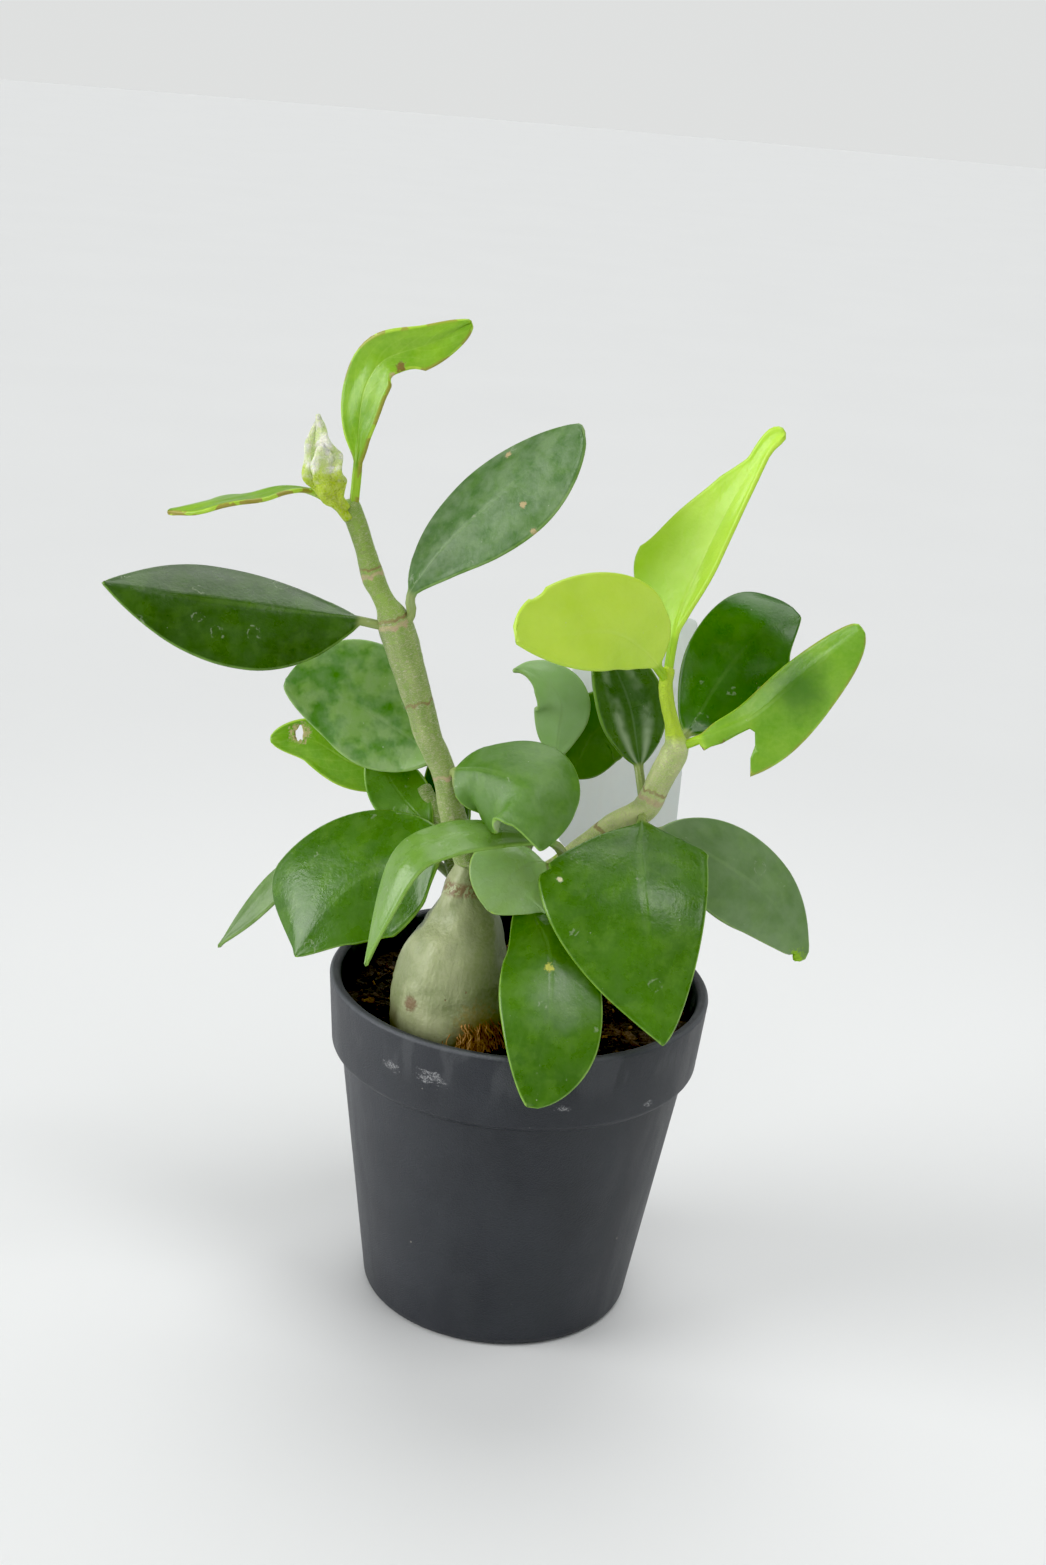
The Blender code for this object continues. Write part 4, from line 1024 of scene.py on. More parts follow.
def oval(centre, across_mm, up_mm, face, wobble=0.0, sides=24):
    """Points round an oval that faces a direction."""
    turn = Vector(face).to_track_quat("Z", "Y").to_matrix()
    points = []
    for k in range(sides):
        angle = 2 * math.pi * k / sides
        flat = Vector((math.cos(angle), math.sin(angle), 0.0))
        grow = 1.0 + wobble * noise.noise(flat * 1.7)
        points.append(turn @ Vector((flat.x * across_mm, flat.y * up_mm, 0.0)) * grow
                      + Vector(centre))
    return points


cut_away(leaf_pieces["leaf_young_left"], oval((-57.8, 22.4, 129.3), 1.05, 1.7, (0, -1, 0.25), 0.5),
         (0, -1, 0.25), 3.0)
NOTCH = [(31.0, -8, 141.0), (35.9, -8, 142.9), (38.2, -8, 144.6), (40.6, -8, 145.6),
         (43.9, -8, 148.0), (46.4, -8, 149.6), (47.6, -8, 148.9), (48.0, -8, 145.8),
         (47.3, -8, 142.8), (48.2, -8, 134.0), (31.0, -8, 132.0)]
cut_away(leaf_pieces["leaf_notched"], NOTCH, (0.092, 0.952, -0.288), 14.0)
for name in ("leaf_young_left", "leaf_notched"):
    print(name, "cut, faces:", len(leaf_pieces[name].data.polygons))

# %% Settle every blade and hide its node
LEAF_SLOTS = {"leaf_dark": "leaf_dark", "leaf_grey": "leaf_grey", "leaf_green": "leaf_green",
              "leaf_young": "leaf_young"}
for name, values in LEAVES.items():
    settle(leaf_pieces[name], LEAF_SLOTS[values["family"]], name)
print("blades settled")

# %% [markdown]
# The skin of a stem is green under a thin beige scurf that has cracked into fine crosswise
# lines as the stem grew. Old leaf stalks have left pinkish ring scars at the joints. The
# finish reads the stored skin values, so the lines and rings lie square to each stem
# wherever it bends. A constant sheen makes the edges pale, as fine hairs do.

# %% Material: stem skin
def stem_finish(name, light, shade, joints=(), top=None):
    """light and shade: two tones of skin. joints: (mm up, half width, colour). top: see below."""
    material, tree, shader, place = new_material(
        name + "_finish", Subsurface_Weight=0.05, Subsurface_Radius=(0.6, 0.8, 0.3),
        Subsurface_Scale=0.001, Sheen_Weight=0.12, Sheen_Roughness=0.4)
    bark = stored(tree, "skin", vector=True)
    flat_skin = arrows(tree, "MULTIPLY", bark, (0.55, 0.55, 1.6))
    patches = use_group(tree, mottle_group, Place=arrows(tree, "MULTIPLY", bark, (1.0, 1.0, 0.34)),
                        Size=2.6, Sharpness=1.8)
    scurf = use_group(tree, scurf_group, Place=flat_skin, Size=0.85)
    fine_scurf = use_group(tree, scurf_group, Place=flat_skin, Size=0.40)
    pale = use_group(tree, specks_group, Place=flat_skin, Spacing=1.0, Speck_size=0.30,
                     Amount=0.45)
    young = scurf * 0.0
    colour = mix_colours(tree, patches, shade, light)
    if top:
        # the newest part: (from mm, to mm, colour, share of scurf that is missing there)
        young = split_xyz(tree, place)[2].ramp(top[0], top[1])
        colour = mix_colours(tree, young * 0.95, colour, top[2])
    cover = 1.0 - young * (top[3] if top else 0.0)
    colour = mix_colours(tree, scurf * cover * 0.55, colour, (0.74, 0.71, 0.48))
    colour = mix_colours(tree, fine_scurf * cover * 0.35, colour, (0.70, 0.66, 0.44))
    colour = mix_colours(tree, pale * cover * 0.5, colour, (0.80, 0.76, 0.60))
    up_mm = stored(tree, "up_mm") + patches * 1.2 - 0.6
    scars = scurf * 0.0
    for height, half, tint in joints:
        ring = ((1.0 - (up_mm - height).abs() / half).clamped() * 2.0).clamped()
        ring = ring * (patches * 0.6 + fine_scurf * 0.5 + 0.4).clamped()
        colour = mix_colours(tree, ring * 0.8, colour, tint)
        scars = scars.most(ring)
    height = patches * 0.4 + scurf * 0.35 + fine_scurf * 0.2 + pale * 0.3 - scars * 0.3 + 0.3
    end_material(tree, shader, colour, scurf * 0.15 + 0.42 + scars * 0.2, height, 0.22)
    return material


SCAR_BROWN = (0.30, 0.17, 0.08)
PINKISH = (0.62, 0.44, 0.30)
LIME = (0.52, 0.74, 0.03)
left_skin = stem_finish("stem_left", (0.36, 0.48, 0.14), (0.22, 0.36, 0.06), joints=[
    (22.0, 0.8, PINKISH), (40.0, 0.5, SCAR_BROWN), (58.6, 0.9, PINKISH), (60.2, 0.5, SCAR_BROWN),
    (70.5, 0.7, PINKISH), (72.0, 0.4, SCAR_BROWN)], top=(167, 170, (0.28, 0.44, 0.07), 0.3))
right_skin = stem_finish("stem_right", (0.68, 0.76, 0.32), (0.46, 0.60, 0.18), joints=[
    (24.5, 0.8, LIME), (36.5, 0.8, SCAR_BROWN), (50.5, 0.9, PINKISH), (52.5, 0.5, SCAR_BROWN)],
    top=(143, 146, LIME, 0.95))
shoot_skin = stem_finish("shoot", (0.24, 0.38, 0.07), (0.14, 0.26, 0.03))
print("stem skins ready")

# %% [markdown]
# The stems keep the engineering model's points and radii. The caudex is built by the same
# tree with more sides and broader lumps: it is only a very thick stem that stores water.

# %% Grow the stems
STEMS = {
    "stem_left": (left_skin, [
        ((-13, -12, 112.3), 3.6), ((-18, -11, 123), 3.0), (LEFT_MID, 2.8), ((-25, -9, 141), 3.0),
        ((-28, -8, 149), 3.3), (LEFT_HIGH, 4.0), ((-37, -7, 171), 2.4), ((-40, -6, 176), 2.5),
        ((-43, -5, 184), 2.2), ((-46, -5, 191), 2.3)]),
    "stem_right": (right_skin, [
        ((-14, -13, 104), 3.0), ((-8, -10, 108), 3.0), ((0, -9, 109), 2.6), ((7, -8, 113), 2.7),
        ((18, -5, 123), 2.5), (RIGHT_MID, 3.1), ((27.8, -3.6, 134.2), 3.0),
        ((30.6, -3, 141.2), 3.1), ((30.0, -3.2, 145.5), 2.0), ((28.2, -3.6, 151), 1.6),
        ((27, -4, 156), 1.6), ((27, -4, 160), 1.6)]),
    "shoot_left": (shoot_skin, [
        ((-14, -13, 102), 2.4), ((-16, -6, 107), 2.4), ((-21, 2, 115), 2.0), ((-26, 7, 123), 1.8)]),
    "shoot_right": (shoot_skin, [
        ((-13, -13, 100), 2.4), ((-8, -6, 104), 2.4), ((-1, 4, 114), 2.0), ((5, 11, 126), 1.8)]),
}
for seed, (name, (skin_material, knots)) in enumerate(STEMS.items()):
    (before, unused), (end, end_radius) = knots[-2:]
    onward = (Vector(end) - Vector(before)).normalized() * end_radius
    knots = knots + [(Vector(end) + onward * 0.5, end_radius * 0.8),
                     (Vector(end) + onward * 0.8, end_radius * 0.35)]
    host = thread(name + "_path", [point for point, radius in knots],
                  [radius for point, radius in knots])
    piece = run_tree(name + "_skin", host, stem_tree, {
        "Sides": 28, "Step": 0.7 * MM, "Lump height": 0.35 * MM, "Lump size": 3.2,
        "Lump stretch": 1.6, "Seed": 11.0 + seed * 5.3, "Material": skin_material})
    settle(piece, "stem_skin", name)
    print(name, len(piece.data.polygons), "faces")

# %% [markdown]
# The caudex is smooth and pale where light falls on it, with a grey-green skin, faint
# upright furrows, small corky scars, and a brown ring at its neck where the stems leave.
# Near the compost it is stained darker, and its right side is darkened with painted shade.

# %% The caudex and its skin
caudex_skin, tree, shader, place = new_material(
    "caudex_finish", Subsurface_Weight=0.04, Subsurface_Radius=(0.8, 0.9, 0.4),
    Subsurface_Scale=0.0015, Coat_Weight=0.10, Coat_Roughness=0.35)
bark = stored(tree, "skin", vector=True)
furrow_place = arrows(tree, "MULTIPLY", bark, (1.0, 1.0, 0.16))
furrows = use_group(tree, mottle_group, Place=furrow_place, Size=2.4, Sharpness=2.2)
patches = use_group(tree, mottle_group, Place=bark, Size=8.0, Sharpness=1.8)
grain = use_group(tree, mottle_group, Place=bark, Size=0.8, Sharpness=1.8)
cork = use_group(tree, specks_group, Place=bark, Spacing=3.4, Speck_size=0.45, Amount=0.35)
freckles = use_group(tree, specks_group, Place=bark, Spacing=1.3, Speck_size=0.16, Amount=0.4)
height_mm = split_xyz(tree, place)[2]
x_mm = split_xyz(tree, place)[0]
neck = height_mm.ramp(106.2, 107.6) * height_mm.ramp(110.5, 109.0)
stain = (height_mm + patches * 5.0).ramp(82.0, 76.0)
colour = mix_colours(tree, patches, (0.28, 0.33, 0.15), (0.46, 0.50, 0.27))
colour = mix_colours(tree, furrows * 0.15, colour, (0.24, 0.30, 0.10))
# painted shade: the right side of the caudex is darkened where the leaves shade it
painted_shade_side = (x_mm + patches * 4.0).ramp(-14.0, -4.0)
colour = mix_colours(tree, painted_shade_side * 0.75, colour, (0.15, 0.21, 0.04))
tuft_stain = use_group(tree, scar_group, Place=place, Centre=(-8.0, -26.5, 78.5), Reach=7.0,
                       Raggedness=0.9)
colour = mix_colours(tree, tuft_stain * 0.55, colour, (0.34, 0.24, 0.05))
colour = mix_colours(tree, grain * 0.18, colour, (0.50, 0.50, 0.34))
colour = mix_colours(tree, freckles * 0.4, colour, (0.17, 0.15, 0.07))
colour = mix_colours(tree, cork * 0.8, colour, (0.24, 0.14, 0.06))
colour = mix_colours(tree, neck * grain.ramp(0.25, 0.6) * 0.8, colour, (0.20, 0.10, 0.04))
colour = mix_colours(tree, stain * 0.6, colour, (0.13, 0.10, 0.05))
scar = use_group(tree, scar_group, Place=place, Centre=(-23.8, -24.2, 82.6), Reach=2.2,
                 Raggedness=0.6)
colour = mix_colours(tree, scar * 0.85, colour, (0.20, 0.11, 0.045))
height = furrows * 0.2 + patches * 0.4 + grain * 0.15 + 0.3 - cork * 0.3 - scar * 0.3
end_material(tree, shader, colour, grain * 0.12 + 0.40 + stain * 0.25, height, 0.35)

CAUDEX_KNOTS = [((-13, -15, 48), 6.0), ((-14, -14, 64), 11.5), ((-14.6, -14, 72), 13.8),
                ((-15.4, -14, 79), 14.1), ((-15, -14, 90), 12.4), ((-14, -13, 98), 9.2),
                ((-14, -13, 106), 5.4), ((-13, -12, 112), 4.0)]
caudex_host = thread("caudex_path", [point for point, radius in CAUDEX_KNOTS],
                     [radius for point, radius in CAUDEX_KNOTS])
caudex_piece = run_tree("caudex_body", caudex_host, stem_tree, {
    "Sides": 72, "Step": 0.8 * MM, "Lump height": 1.3 * MM, "Lump size": 6.0,
    "Lump stretch": 1.3, "Seed": 3.0, "Material": caudex_skin})
settle(caudex_piece, "caudex_skin", "caudex")
print("caudex faces:", len(caudex_piece.data.polygons))

# %% [markdown]
# At the front of its foot the caudex has a tuft of orange-brown rootlets that wander down
# into the compost. The engineering model has nine stout ones. Here a seeded random walk
# draws a few stout threads and many fine ones: each leaves the skin, strays to the sides
# and sinks a little with every step, which tangles them as real rootlets are.

# %% The rootlets
root_skin, tree, shader, place = new_material("rootlet_finish")
fibre = arrows(tree, "MULTIPLY", stored(tree, "skin", vector=True), (1.0, 1.0, 0.25))
grain = use_group(tree, mottle_group, Place=fibre, Size=0.4, Sharpness=2.4)
patches = use_group(tree, mottle_group, Place=place, Size=1.8, Sharpness=2.0)
colour = mix_colours(tree, patches, (0.20, 0.08, 0.02), (0.52, 0.27, 0.07))
colour = mix_colours(tree, grain * 0.4, colour, (0.62, 0.40, 0.15))
end_material(tree, shader, colour, grain * 0.2 + 0.65, grain, 0.15)


def threads(name, lines):
    """A host made of several chains; each line is a list of (point, radius) in mm."""
    points, edges, radii = [], [], []
    for line in lines:
        start = len(points)
        points += [tuple(Vector(point) * MM) for point, radius in line]
        radii += [radius * MM for point, radius in line]
        edges += [(start + k, start + k + 1) for k in range(len(line) - 1)]
    mesh = bpy.data.meshes.new(name)
    mesh.from_pydata(points, edges, [])
    mesh.attributes.new("radius", "FLOAT", "POINT").data.foreach_set("value", radii)
    return new_piece(name, mesh)


root_draw = random.Random(7)
root_lines = []
for index in range(110):
    stout = index % 12 == 0
    turn = math.radians(-60 + root_draw.gauss(0, 13))
    outwards = Vector((math.cos(turn), math.sin(turn), 0.0))
    sideways = Vector((-outwards.y, outwards.x, 0.0))
    height = root_draw.uniform(76.5, 81.8)
    size = 0.55 if stout else root_draw.uniform(0.10, 0.26)
    place_now = Vector((-15, -14, height)) + outwards * 12.8
    line = [(place_now, size)]
    steps = 4
    for step in range(1, steps + 1):
        share = step / steps
        swing = 0.5 if stout else 1.3
        place_now = place_now + outwards * root_draw.uniform(0.2, 1.7) \
            + sideways * root_draw.uniform(-swing, swing)
        place_now.z += (74.3 - height) / steps + root_draw.uniform(-0.6, 0.8) * (1 - share)
        line.append((place_now.copy(), size * (1 - 0.55 * share)))
    root_lines.append(line)
root_piece = run_tree("rootlets", threads("rootlet_paths", root_lines), stem_tree, {
    "Sides": 8, "Step": 0.35 * MM, "Lump height": 0.12 * MM, "Lump size": 0.8,
    "Lump stretch": 1.0, "Seed": 21.0, "Material": root_skin})
settle(root_piece, "caudex_skin")
print("rootlets:", len(root_lines), "faces:", len(root_piece.data.polygons))

# %% [markdown]
# Turned things, such as the pot and the plug of compost, start as a profile that a Screw
# modifier spins about the upright axis. The profile's corners are rounded first, because a
# moulded plastic edge is never sharp and its highlight tells the eye that it is plastic.

# %% Turned shapes with rounded corners
def rounded(outline, reach, steps=4, closed=False):
    """Replace each corner of an outline by a small arc."""
    result = []
    count = len(outline)
    for k, corner in enumerate(outline):
        if not closed and k in (0, count - 1):
            result.append(Vector(corner))
            continue
        here = Vector(corner)
        before, after = Vector(outline[k - 1]), Vector(outline[(k + 1) % count])
        size = min(reach, (before - here).length * 0.45, (after - here).length * 0.45)
        start = here + (before - here).normalized() * size
        end = here + (after - here).normalized() * size
        for step in range(steps + 1):
            t = step / steps
            result.append(start * (1 - t) ** 2 + here * 2 * t * (1 - t) + end * t ** 2)
    return result


def turned_piece(name, profile, steps, material=None):
    """Spin a profile of (radius, height) in mm; it runs down the outside."""
    mesh = bpy.data.meshes.new(name)
    corners = [(radius * MM, 0.0, height * MM) for radius, height in profile]
    mesh.from_pydata(corners, [(k, k + 1) for k in range(len(corners) - 1)], [])
    holder = new_piece(name + "_profile", mesh)
    screw = holder.modifiers.new("turn", "SCREW")
    screw.steps = screw.render_steps = steps
    screw.use_merge_vertices = True
    screw.merge_threshold = 0.00001
    depsgraph = bpy.context.evaluated_depsgraph_get()
    turned = bpy.data.meshes.new_from_object(holder.evaluated_get(depsgraph))
    bpy.data.objects.remove(holder)
    bm = bmesh.new()
    bm.from_mesh(turned)
    bmesh.ops.remove_doubles(bm, verts=bm.verts, dist=0.000005)
    bm.to_mesh(turned)
    bm.free()
    turned.shade_smooth()
    turned.set_sharp_from_angle(angle=math.radians(35))
    return new_piece(name, turned, material)


# %% [markdown]
# The pot is a thin injection-moulded nursery pot of charcoal plastic. Its surface is matte,
# with a faint grain, a bluish sheen, dust that has dried on it, some lime from watering
# below the rim, and a lip that is lighter. The finish builds these from shared groups;
# where the lighter lip lies follows from the height and the distance from the axis.

# %% Material: pot plastic
pot_plastic, tree, shader, place = new_material(
    "pot_plastic_finish", Coat_Weight=0.06, Coat_Roughness=0.45)
x_mm, y_mm, z_mm = split_xyz(tree, place)
from_axis = (x_mm * x_mm + y_mm * y_mm) ** 0.5
broad = use_group(tree, mottle_group, Place=place, Size=22.0, Sharpness=1.6)
film = use_group(tree, mottle_group, Place=arrows(tree, "MULTIPLY", place, (1.0, 1.0, 0.25)),
                 Size=6.0, Sharpness=2.0)
grain = use_group(tree, mottle_group, Place=place, Size=0.35, Sharpness=2.2)
dust = use_group(tree, specks_group, Place=place, Spacing=2.4, Speck_size=0.16, Amount=0.35)
big_dust = use_group(tree, specks_group, Place=place, Spacing=7.0, Speck_size=0.35, Amount=0.3)
# the outer top edge of the rim is made lighter
lighter_lip = z_mm.ramp(80.1, 80.8) * from_axis.ramp(43.9, 44.5)
lime = z_mm.ramp(68.0, 76.0) * film.ramp(0.55, 0.95)
colour = mix_colours(tree, broad, (0.019, 0.0215, 0.029), (0.031, 0.035, 0.045))
colour = mix_colours(tree, film * 0.35, colour, (0.050, 0.055, 0.062))
colour = mix_colours(tree, grain * 0.25, colour, (0.015, 0.017, 0.020))
colour = mix_colours(tree, lighter_lip * 0.55, colour, (0.14, 0.15, 0.165))
colour = mix_colours(tree, lime * 0.12, colour, (0.20, 0.21, 0.22))
colour = mix_colours(tree, dust * 0.40, colour, (0.26, 0.26, 0.25))
colour = mix_colours(tree, big_dust * 0.5, colour, (0.42, 0.40, 0.36))
wide_place = arrows(tree, "MULTIPLY", place, (0.45, 0.45, 1.0))
for centre, reach in (((-17.8, -41.0, 72.6), 1.6), ((-27.2, -35.4, 72.1), 1.1),
                      ((12.0, -43.0, 69.0), 0.8), ((31.0, -30.0, 66.0), 0.7)):
    flat_centre = (centre[0] * 0.45, centre[1] * 0.45, centre[2])
    scuff = use_group(tree, scar_group, Place=wide_place, Centre=flat_centre, Reach=reach,
                      Raggedness=1.8)
    colour = mix_colours(tree, scuff * (grain.ramp(0.45, 0.75) * 0.35 + 0.05), colour, (0.62, 0.63, 0.64))
end_material(tree, shader, colour, film * 0.12 + 0.42 + dust * 0.2, grain * 0.6 + film * 0.2, 0.10)

# %% The pot
POT_PROFILE = [
    (0.0, 1.6), (30.1, 1.6), (31.2, 2.6), (39.9, 63.0), (42.47, 80.4), (43.07, 81.0),
    (44.5, 81.0), (45.0, 80.4), (43.6, 63.8), (43.1, 63.0), (41.2, 61.8), (32.4, 1.6),
    (31.7, 0.4), (30.6, 0.0), (0.0, 0.0)]
pot_profile = [(corner.x, corner.y) for corner in rounded(POT_PROFILE, 0.5)]
pot_piece = turned_piece("pot_shell", pot_profile, 160, pot_plastic)
for index in range(6):
    turn = 2 * math.pi * index / 6 + math.radians(7)
    centre = (math.cos(turn) * 21, math.sin(turn) * 21, 0.8)
    cut_away(pot_piece, oval(centre, 2.6, 2.6, (0, 0, 1), sides=32), (0, 0, 1), 2.4)
settle(pot_piece, "pot_plastic", "pot")
print("pot faces:", len(pot_piece.data.polygons))

# %% [markdown]
# Compost is a heap of small pieces, and a bump on a flat disc never looks like one. Here a
# tree scatters bark chips and crumbs over the top of the plug, each turned and sized at
# random with a fixed seed, and gives each a tone that the material reads. The chips are
# low in faces, because there are many of them.

# %% The compost tree
COMPOST_DIALS = {
    "Reach": ("Float", 0.039), "Relief": ("Float", 0.0014), "Chip density": ("Float", 95000.0),
    "Crumb density": ("Float", 330000.0), "Chip size": ("Float", 0.0036),
    "Crumb size": ("Float", 0.0010), "Seed": ("Int", 3), "Material": ("Material", None),
}
compost_tree, dial = new_tree("compost", COMPOST_DIALS)
tree = compost_tree


def random_wire(tree, low, high, seed, kind="FLOAT"):
    node = tree.nodes.new("FunctionNodeRandomValue")
    node.data_type = kind
    first = 0 if kind == "FLOAT_VECTOR" else 2
    plug(tree, low, node.inputs[first])
    plug(tree, high, node.inputs[first + 1])
    plug(tree, seed, node.inputs["Seed"])
    return out(node, 0 if kind == "FLOAT_VECTOR" else 1)


position = out(node_of(tree, "GeometryNodeInputPosition"))
surface_normal = out(node_of(tree, "GeometryNodeInputNormal"), 0)
facing_up = split_xyz(tree, surface_normal)[2].above(0.6)
hills = noise_wire(tree, position, 130.0, 3.0) - 0.5
lift = join_xyz(tree, 0.0, 0.0, hills * dial["Relief"] * 3.0 * facing_up)
plug_top = out(node_of(tree, "GeometryNodeSetPosition", {"Geometry": dial["Geometry"],
                                                        "Offset": lift}))
flat_place = arrows(tree, "MULTIPLY", position, (1.0, 1.0, 0.0))
inside = dial["Reach"] * 1.0 - arrows(tree, "LENGTH", flat_place)
may_carry = inside.above(0.0) * facing_up


def scatter(tree, base, density, seed_shift, shape, size_low, size_high, tip_angle, sink):
    """Instances on the top of the compost, with a tone for each."""
    seed = dial["Seed"] + seed_shift
    points = out(node_of(tree, "GeometryNodeDistributePointsOnFaces",
                         {"Mesh": base, "Selection": may_carry, "Density": density, "Seed": seed}))
    sunk = random_wire(tree, -sink, sink * 0.6, seed + 1.0)
    points = out(node_of(tree, "GeometryNodeSetPosition", {"Geometry": points,
                                                          "Offset": join_xyz(tree, 0.0, 0.0, sunk)}))
    turn = random_wire(tree, (-tip_angle, -tip_angle, 0.0), (tip_angle, tip_angle, 6.28),
                       seed + 2.0, "FLOAT_VECTOR")
    size = random_wire(tree, size_low, size_high, seed + 3.0, "FLOAT_VECTOR")
    placed = out(node_of(tree, "GeometryNodeInstanceOnPoints",
                         {"Points": points, "Instance": shape, "Rotation": turn, "Scale": size}))
    tone = random_wire(tree, 0.0, 1.0, seed + 4.0)
    toned = store(tree, placed, "tone", tone, domain="INSTANCE")
    return out(node_of(tree, "GeometryNodeRealizeInstances", {"Geometry": toned}))


chip = out(node_of(tree, "GeometryNodeMeshCube", {"Vertices X": 4, "Vertices Y": 3,
                                                  "Vertices Z": 3}))
crumb = out(node_of(tree, "GeometryNodeMeshIcoSphere", {"Radius": 0.6, "Subdivisions": 1}))
chip_size = dial["Chip size"]
crumb_size = dial["Crumb size"]
chips = scatter(tree, plug_top, dial["Chip density"], 10.0, chip,
                join_xyz(tree, chip_size * 0.5, chip_size * 0.3, chip_size * 0.15),
                join_xyz(tree, chip_size * 1.6, chip_size * 0.9, chip_size * 0.4), 0.6, 0.0008)
crumbs = scatter(tree, plug_top, dial["Crumb density"], 40.0, crumb,
                 join_xyz(tree, crumb_size * 0.4, crumb_size * 0.4, crumb_size * 0.4),
                 join_xyz(tree, crumb_size * 1.8, crumb_size * 1.6, crumb_size * 1.3), 1.5, 0.0004)
bits = out(node_of(tree, "GeometryNodeJoinGeometry"))
for piece_wire in (crumbs, chips):
    tree.links.new(piece_wire.socket, bits.socket.node.inputs[0])
warp = node_of(tree, "ShaderNodeTexNoise", {"Vector": position, "Scale": 650.0, "Detail": 2.0})
warp_push = arrows(tree, "SUBTRACT", out(warp, 1), (0.5, 0.5, 0.5))
rough_bits = out(node_of(tree, "GeometryNodeSetPosition", {
    "Geometry": bits, "Offset": arrows(tree, "SCALE", warp_push, scale=0.0011)}))
whole = out(node_of(tree, "GeometryNodeJoinGeometry"))
toned_top = store(tree, plug_top, "tone", hills * 0.6 + 0.18)
for piece_wire in (rough_bits, toned_top):
    tree.links.new(piece_wire.socket, whole.socket.node.inputs[0])
end_tree(tree, whole, dial["Material"])
print("compost tree ready, nodes:", len(compost_tree.nodes))

# %% Material: compost
compost_skin, tree, shader, place = new_material("compost_finish")
tone = stored(tree, "tone")
grain = use_group(tree, mottle_group, Place=place, Size=0.5, Sharpness=2.4)
fibre = use_group(tree, mottle_group, Place=arrows(tree, "MULTIPLY", place, (0.3, 1.6, 1.0)),
                  Size=0.6, Sharpness=2.4)
colour = mix_colours(tree, tone.ramp(0.0, 0.6), (0.014, 0.011, 0.009), (0.045, 0.029, 0.019))
colour = mix_colours(tree, tone.ramp(0.62, 0.85), colour, (0.12, 0.070, 0.038))
colour = mix_colours(tree, tone.ramp(0.90, 0.95), colour, (0.38, 0.22, 0.06))
colour = mix_colours(tree, grain * 0.5, colour, (0.012, 0.009, 0.007))
colour = mix_colours(tree, fibre.ramp(0.6, 0.9) * 0.25, colour, (0.14, 0.09, 0.05))
end_material(tree, shader, colour, grain * 0.2 + 0.75, grain * 0.6 + fibre * 0.4, 0.35)

# %% The compost
plug_rings = 44
compost_profile = [(41.0 * k / plug_rings, 73.0) for k in range(plug_rings + 1)]
compost_profile += [(40.9, 71.5), (36.0, 38.0), (30.9, 3.0), (29.9, 1.9), (0.0, 1.9)]
compost_plug = turned_piece("compost_plug", compost_profile, 120)
compost_piece = run_tree("compost_heap", compost_plug, compost_tree, {
    "Reach": 39.0 * MM, "Chip density": 95000.0, "Crumb density": 330000.0, "Seed": 3,
    "Material": compost_skin})
settle(compost_piece, "soil_mix", "soil")
print("compost faces:", len(compost_piece.data.polygons))

# %% [markdown]
# The plant label stands behind the plant: a thin card of translucent white plastic that
# narrows to a stake. It is left bare. Its outline is a flat curve with rounded corners,
# which is filled and given its thickness and a small bevel, then made a mesh and stood up.

# %% The label
label_plastic, tree, shader, place = new_material(
    "label_plastic_finish", Subsurface_Weight=0.7, Subsurface_Radius=(1.0, 1.0, 1.0),
    Subsurface_Scale=0.004, Coat_Weight=0.15, Coat_Roughness=0.25)
z_mm = split_xyz(tree, place)[2]
clouds = use_group(tree, mottle_group, Place=place, Size=14.0, Sharpness=1.4)
smears = use_group(tree, mottle_group, Place=arrows(tree, "MULTIPLY", place, (1.0, 1.0, 0.2)),
                   Size=2.5, Sharpness=2.0)
dust = use_group(tree, specks_group, Place=place, Spacing=2.8, Speck_size=0.16, Amount=0.35)
colour = mix_colours(tree, clouds, (0.84, 0.94, 1.0), (0.90, 0.97, 1.0))
colour = mix_colours(tree, smears * 0.25, colour, (0.86, 0.90, 0.90))
colour = mix_colours(tree, (z_mm + smears * 14.0).ramp(96.0, 80.0) * 0.6, colour, (0.30, 0.25, 0.17))
colour = mix_colours(tree, dust * 0.5, colour, (0.25, 0.21, 0.15))
end_material(tree, shader, colour, smears * 0.15 + 0.32, smears * 0.4 + clouds * 0.3, 0.08)

card_outline = [(-14.5, 118), (-14.5, 60), (-5, 52), (-4, 8), (0, 0), (4, 8), (5, 52),
                (14.5, 60), (14.5, 118)]
card_curve = bpy.data.curves.new("plant_label", "CURVE")
card_curve.dimensions = "2D"
card_curve.fill_mode = "BOTH"
card_curve.extrude = 0.28 * MM
card_curve.bevel_depth = 0.12 * MM
card_curve.bevel_resolution = 2
card_curve.offset = -0.12 * MM
card_line = rounded(card_outline, 2.2, steps=6, closed=True)
card_spline = card_curve.splines.new("POLY")
card_spline.points.add(len(card_line) - 1)
for point, place_mm in zip(card_spline.points, card_line):
    point.co = (place_mm.x * MM, place_mm.y * MM, 0.0, 1.0)
card_spline.use_cyclic_u = True
card_holder = new_piece("card_holder", card_curve)
card_mesh = bpy.data.meshes.new_from_object(
    card_holder.evaluated_get(bpy.context.evaluated_depsgraph_get()))
bpy.data.objects.remove(card_holder)
lean = Matrix.Rotation(math.pi / 2 - math.radians(2), 4, "X")
card_mesh.transform(Matrix.Translation(Vector((20.5, 27.0, 46.0)) * MM) @ lean)
bm = bmesh.new()
bm.from_mesh(card_mesh)
bmesh.ops.remove_doubles(bm, verts=bm.verts, dist=0.000002)
bmesh.ops.recalc_face_normals(bm, faces=bm.faces)
bm.to_mesh(card_mesh)
bm.free()
card_mesh.materials.clear()
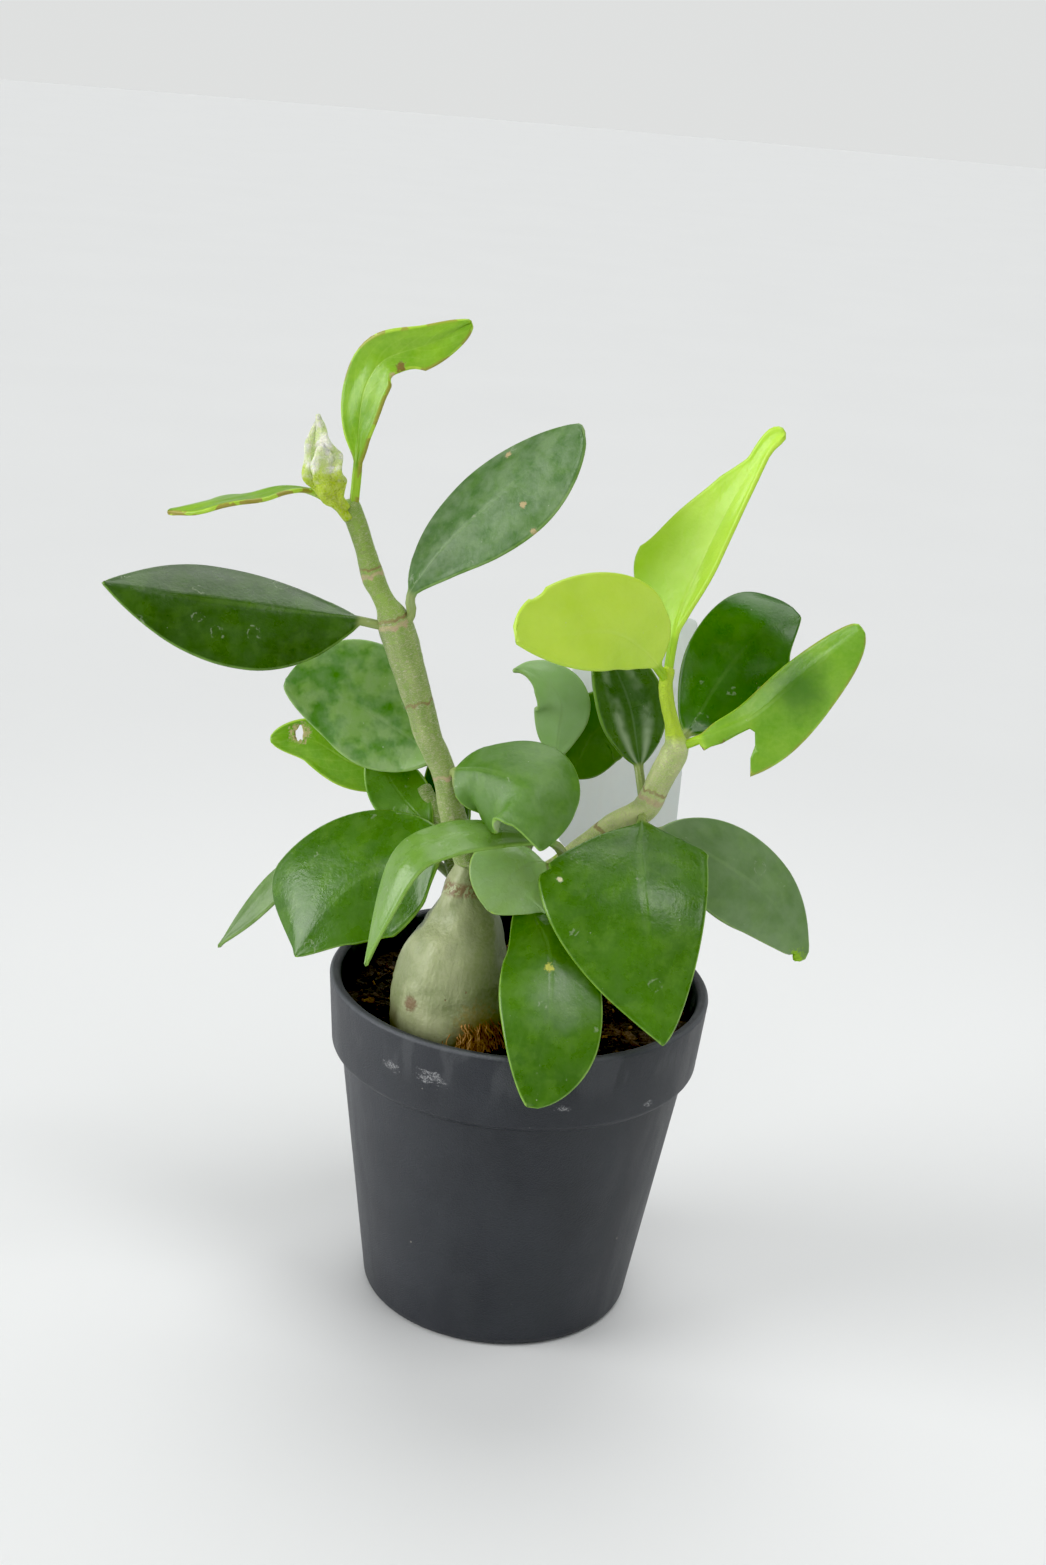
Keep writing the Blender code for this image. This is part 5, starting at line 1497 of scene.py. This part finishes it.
card_piece = settle(new_piece("plant_label_card", card_mesh, label_plastic), "label_plastic",
                    "plant_label")
print("label faces:", len(card_mesh.polygons))

# %% [markdown]
# At the tip of the left stem the newest leaf is still a crumpled pale bud, cream at its tip
# and strong yellow-green at its base. Two small blades from the leaf tree, waved and
# rolled into one another, make it.

# %% The bud
bud_skin, tree, shader, place = new_material(
    "bud_finish", Subsurface_Weight=0.25, Subsurface_Radius=(0.8, 1.0, 0.4),
    Subsurface_Scale=0.002)
along, across = stored(tree, "along"), stored(tree, "across")
folds = use_group(tree, mottle_group, Place=place, Size=2.2, Sharpness=2.2)
grain = use_group(tree, mottle_group, Place=place, Size=0.5, Sharpness=2.0)
height_mm = split_xyz(tree, place)[2]
colour = mix_colours(tree, folds, (0.66, 0.80, 0.34), (0.92, 0.94, 0.80))
colour = mix_colours(tree, (height_mm + folds * 3.0).ramp(203.5, 198.5), colour, (0.52, 0.70, 0.02))
colour = mix_colours(tree, grain * 0.2, colour, (0.90, 0.84, 0.60))
end_material(tree, shader, colour, grain * 0.15 + 0.5, folds * 0.6 + grain * 0.4, 0.4)

BUD_RIB = [(-46, -6.5, 188.5), (-50, -10, 195), (-52.5, -11, 203), (-53.5, -11, 212)]
bud_blades = [
    grow_blade("bud_outer", bud_skin, 41, BUD_RIB, [(-0.3, -1, 0.1)] * 3, (4.5, 4.5), stalk=4,
               tip=1.1, fold=20, cup=50, wave=1.6, waves=3, uneven=1.6, rows=41, columns=21),
    grow_blade("bud_inner", bud_skin, 42, [(-46.5, -7.5, 191), (-49.5, -10.5, 196), (-51.5, -12, 201),
                                          (-52, -12, 206)],
               [(0.3, -1, 0.1)] * 3, (3.2, 3.2), stalk=3, tip=0.6, fold=30, cup=90, wave=1.0,
               waves=4, uneven=1.0, rows=33, columns=15),
]


def join(name, pieces):
    """Make one piece out of several that share a material."""
    bm = bmesh.new()
    material = pieces[0].data.materials[0]
    for piece in pieces:
        bm.from_mesh(piece.data)
        bpy.data.objects.remove(piece)
    mesh = bpy.data.meshes.new(name)
    bm.to_mesh(mesh)
    bm.free()
    return new_piece(name, mesh, material)


bud_piece = settle(join("bud_crumpled", bud_blades), "bud_pale", "bud")
print("bud faces:", len(bud_piece.data.polygons))

# %% [markdown]
# The plant stands on a plain pale floor that runs back to the horizon, under a pale sky of
# the same tone. A wall would hide the plant when it is seen from behind. Five soft suns
# give shape: a window light from the left, one from above that draws highlights, a high one
# behind that draws light edges on leaves and rim, and two broad fills that are kept out of
# reflections. For lighting and reflections the sky is pale only low down behind the plant;
# the camera sees it evenly pale.

# %% Floor, sky and lights
floor_skin, tree, shader, place = new_material("floor_finish", Specular_IOR_Level=0.1)
clouds = use_group(tree, mottle_group, Place=place, Size=160.0, Sharpness=1.0)
far = arrows(tree, "LENGTH", place).ramp(150.0, 500.0)
colour = mix_colours(tree, far, (0.84, 0.85, 0.845), (0.745, 0.755, 0.75))
colour = mix_colours(tree, clouds * 0.25, colour, (0.80, 0.81, 0.805))
end_material(tree, shader, colour, clouds * 0.05 + 0.65, clouds, 0.05)
floor_mesh = bpy.data.meshes.new("floor")
bm = bmesh.new()
bmesh.ops.create_circle(bm, cap_ends=True, segments=96, radius=8.0)
bm.to_mesh(floor_mesh)
bm.free()
floor = new_piece("floor", floor_mesh, floor_skin)

world = bpy.data.worlds.new("pale_sky")
world.use_nodes = True
tree = world.node_tree
sky_x, sky_y, sky_z = split_xyz(tree, out(node_of(tree, "ShaderNodeTexCoord"), "Generated"))
walls = sky_z.ramp(0.35, 0.08) * sky_y.ramp(-0.10, 0.45)
room = mix_colours(tree, walls, (0.10, 0.105, 0.11), (0.74, 0.75, 0.745))
seen = out(node_of(tree, "ShaderNodeLightPath"), "Is Camera Ray")
sky = mix_colours(tree, seen, room, (0.74, 0.75, 0.745))
plug(tree, sky, tree.nodes["Background"].inputs["Color"])
bpy.context.scene.world = world
picture = bpy.context.scene.view_settings
picture.view_transform = "Standard"
picture.use_curve_mapping = True
picture.curve_mapping.black_level = (0.013, 0.013, 0.014)
picture.curve_mapping.update()


def soft_sun(name, towards, softness, power, mirrored=True):
    """A distant light from a direction; softness in degrees. A fill isn't mirrored in gloss."""
    data = bpy.data.lights.new(name, "SUN")
    data.angle = math.radians(softness)
    data.energy = power
    light = bpy.data.objects.new(name, data)
    bpy.context.scene.collection.objects.link(light)
    light.rotation_euler = Vector(towards).to_track_quat("Z", "Y").to_euler()
    light.visible_glossy = mirrored


soft_sun("window", (-1.0, -0.28, 0.36), 38.0, 2.0)
soft_sun("top", (0.32, -0.20, 1.0), 24.0, 0.65)
soft_sun("back", (0.0, 0.60, 1.0), 44.0, 1.05)
soft_sun("room", (0.25, -1.0, 0.50), 100.0, 1.00, mirrored=False)
soft_sun("ceiling", (0.0, -0.1, 1.0), 140.0, 0.30, mirrored=False)
print("lights ready")

# %% [markdown]
# Last, the view layer is brought up to date.

# %% Finish
bpy.context.view_layer.update()
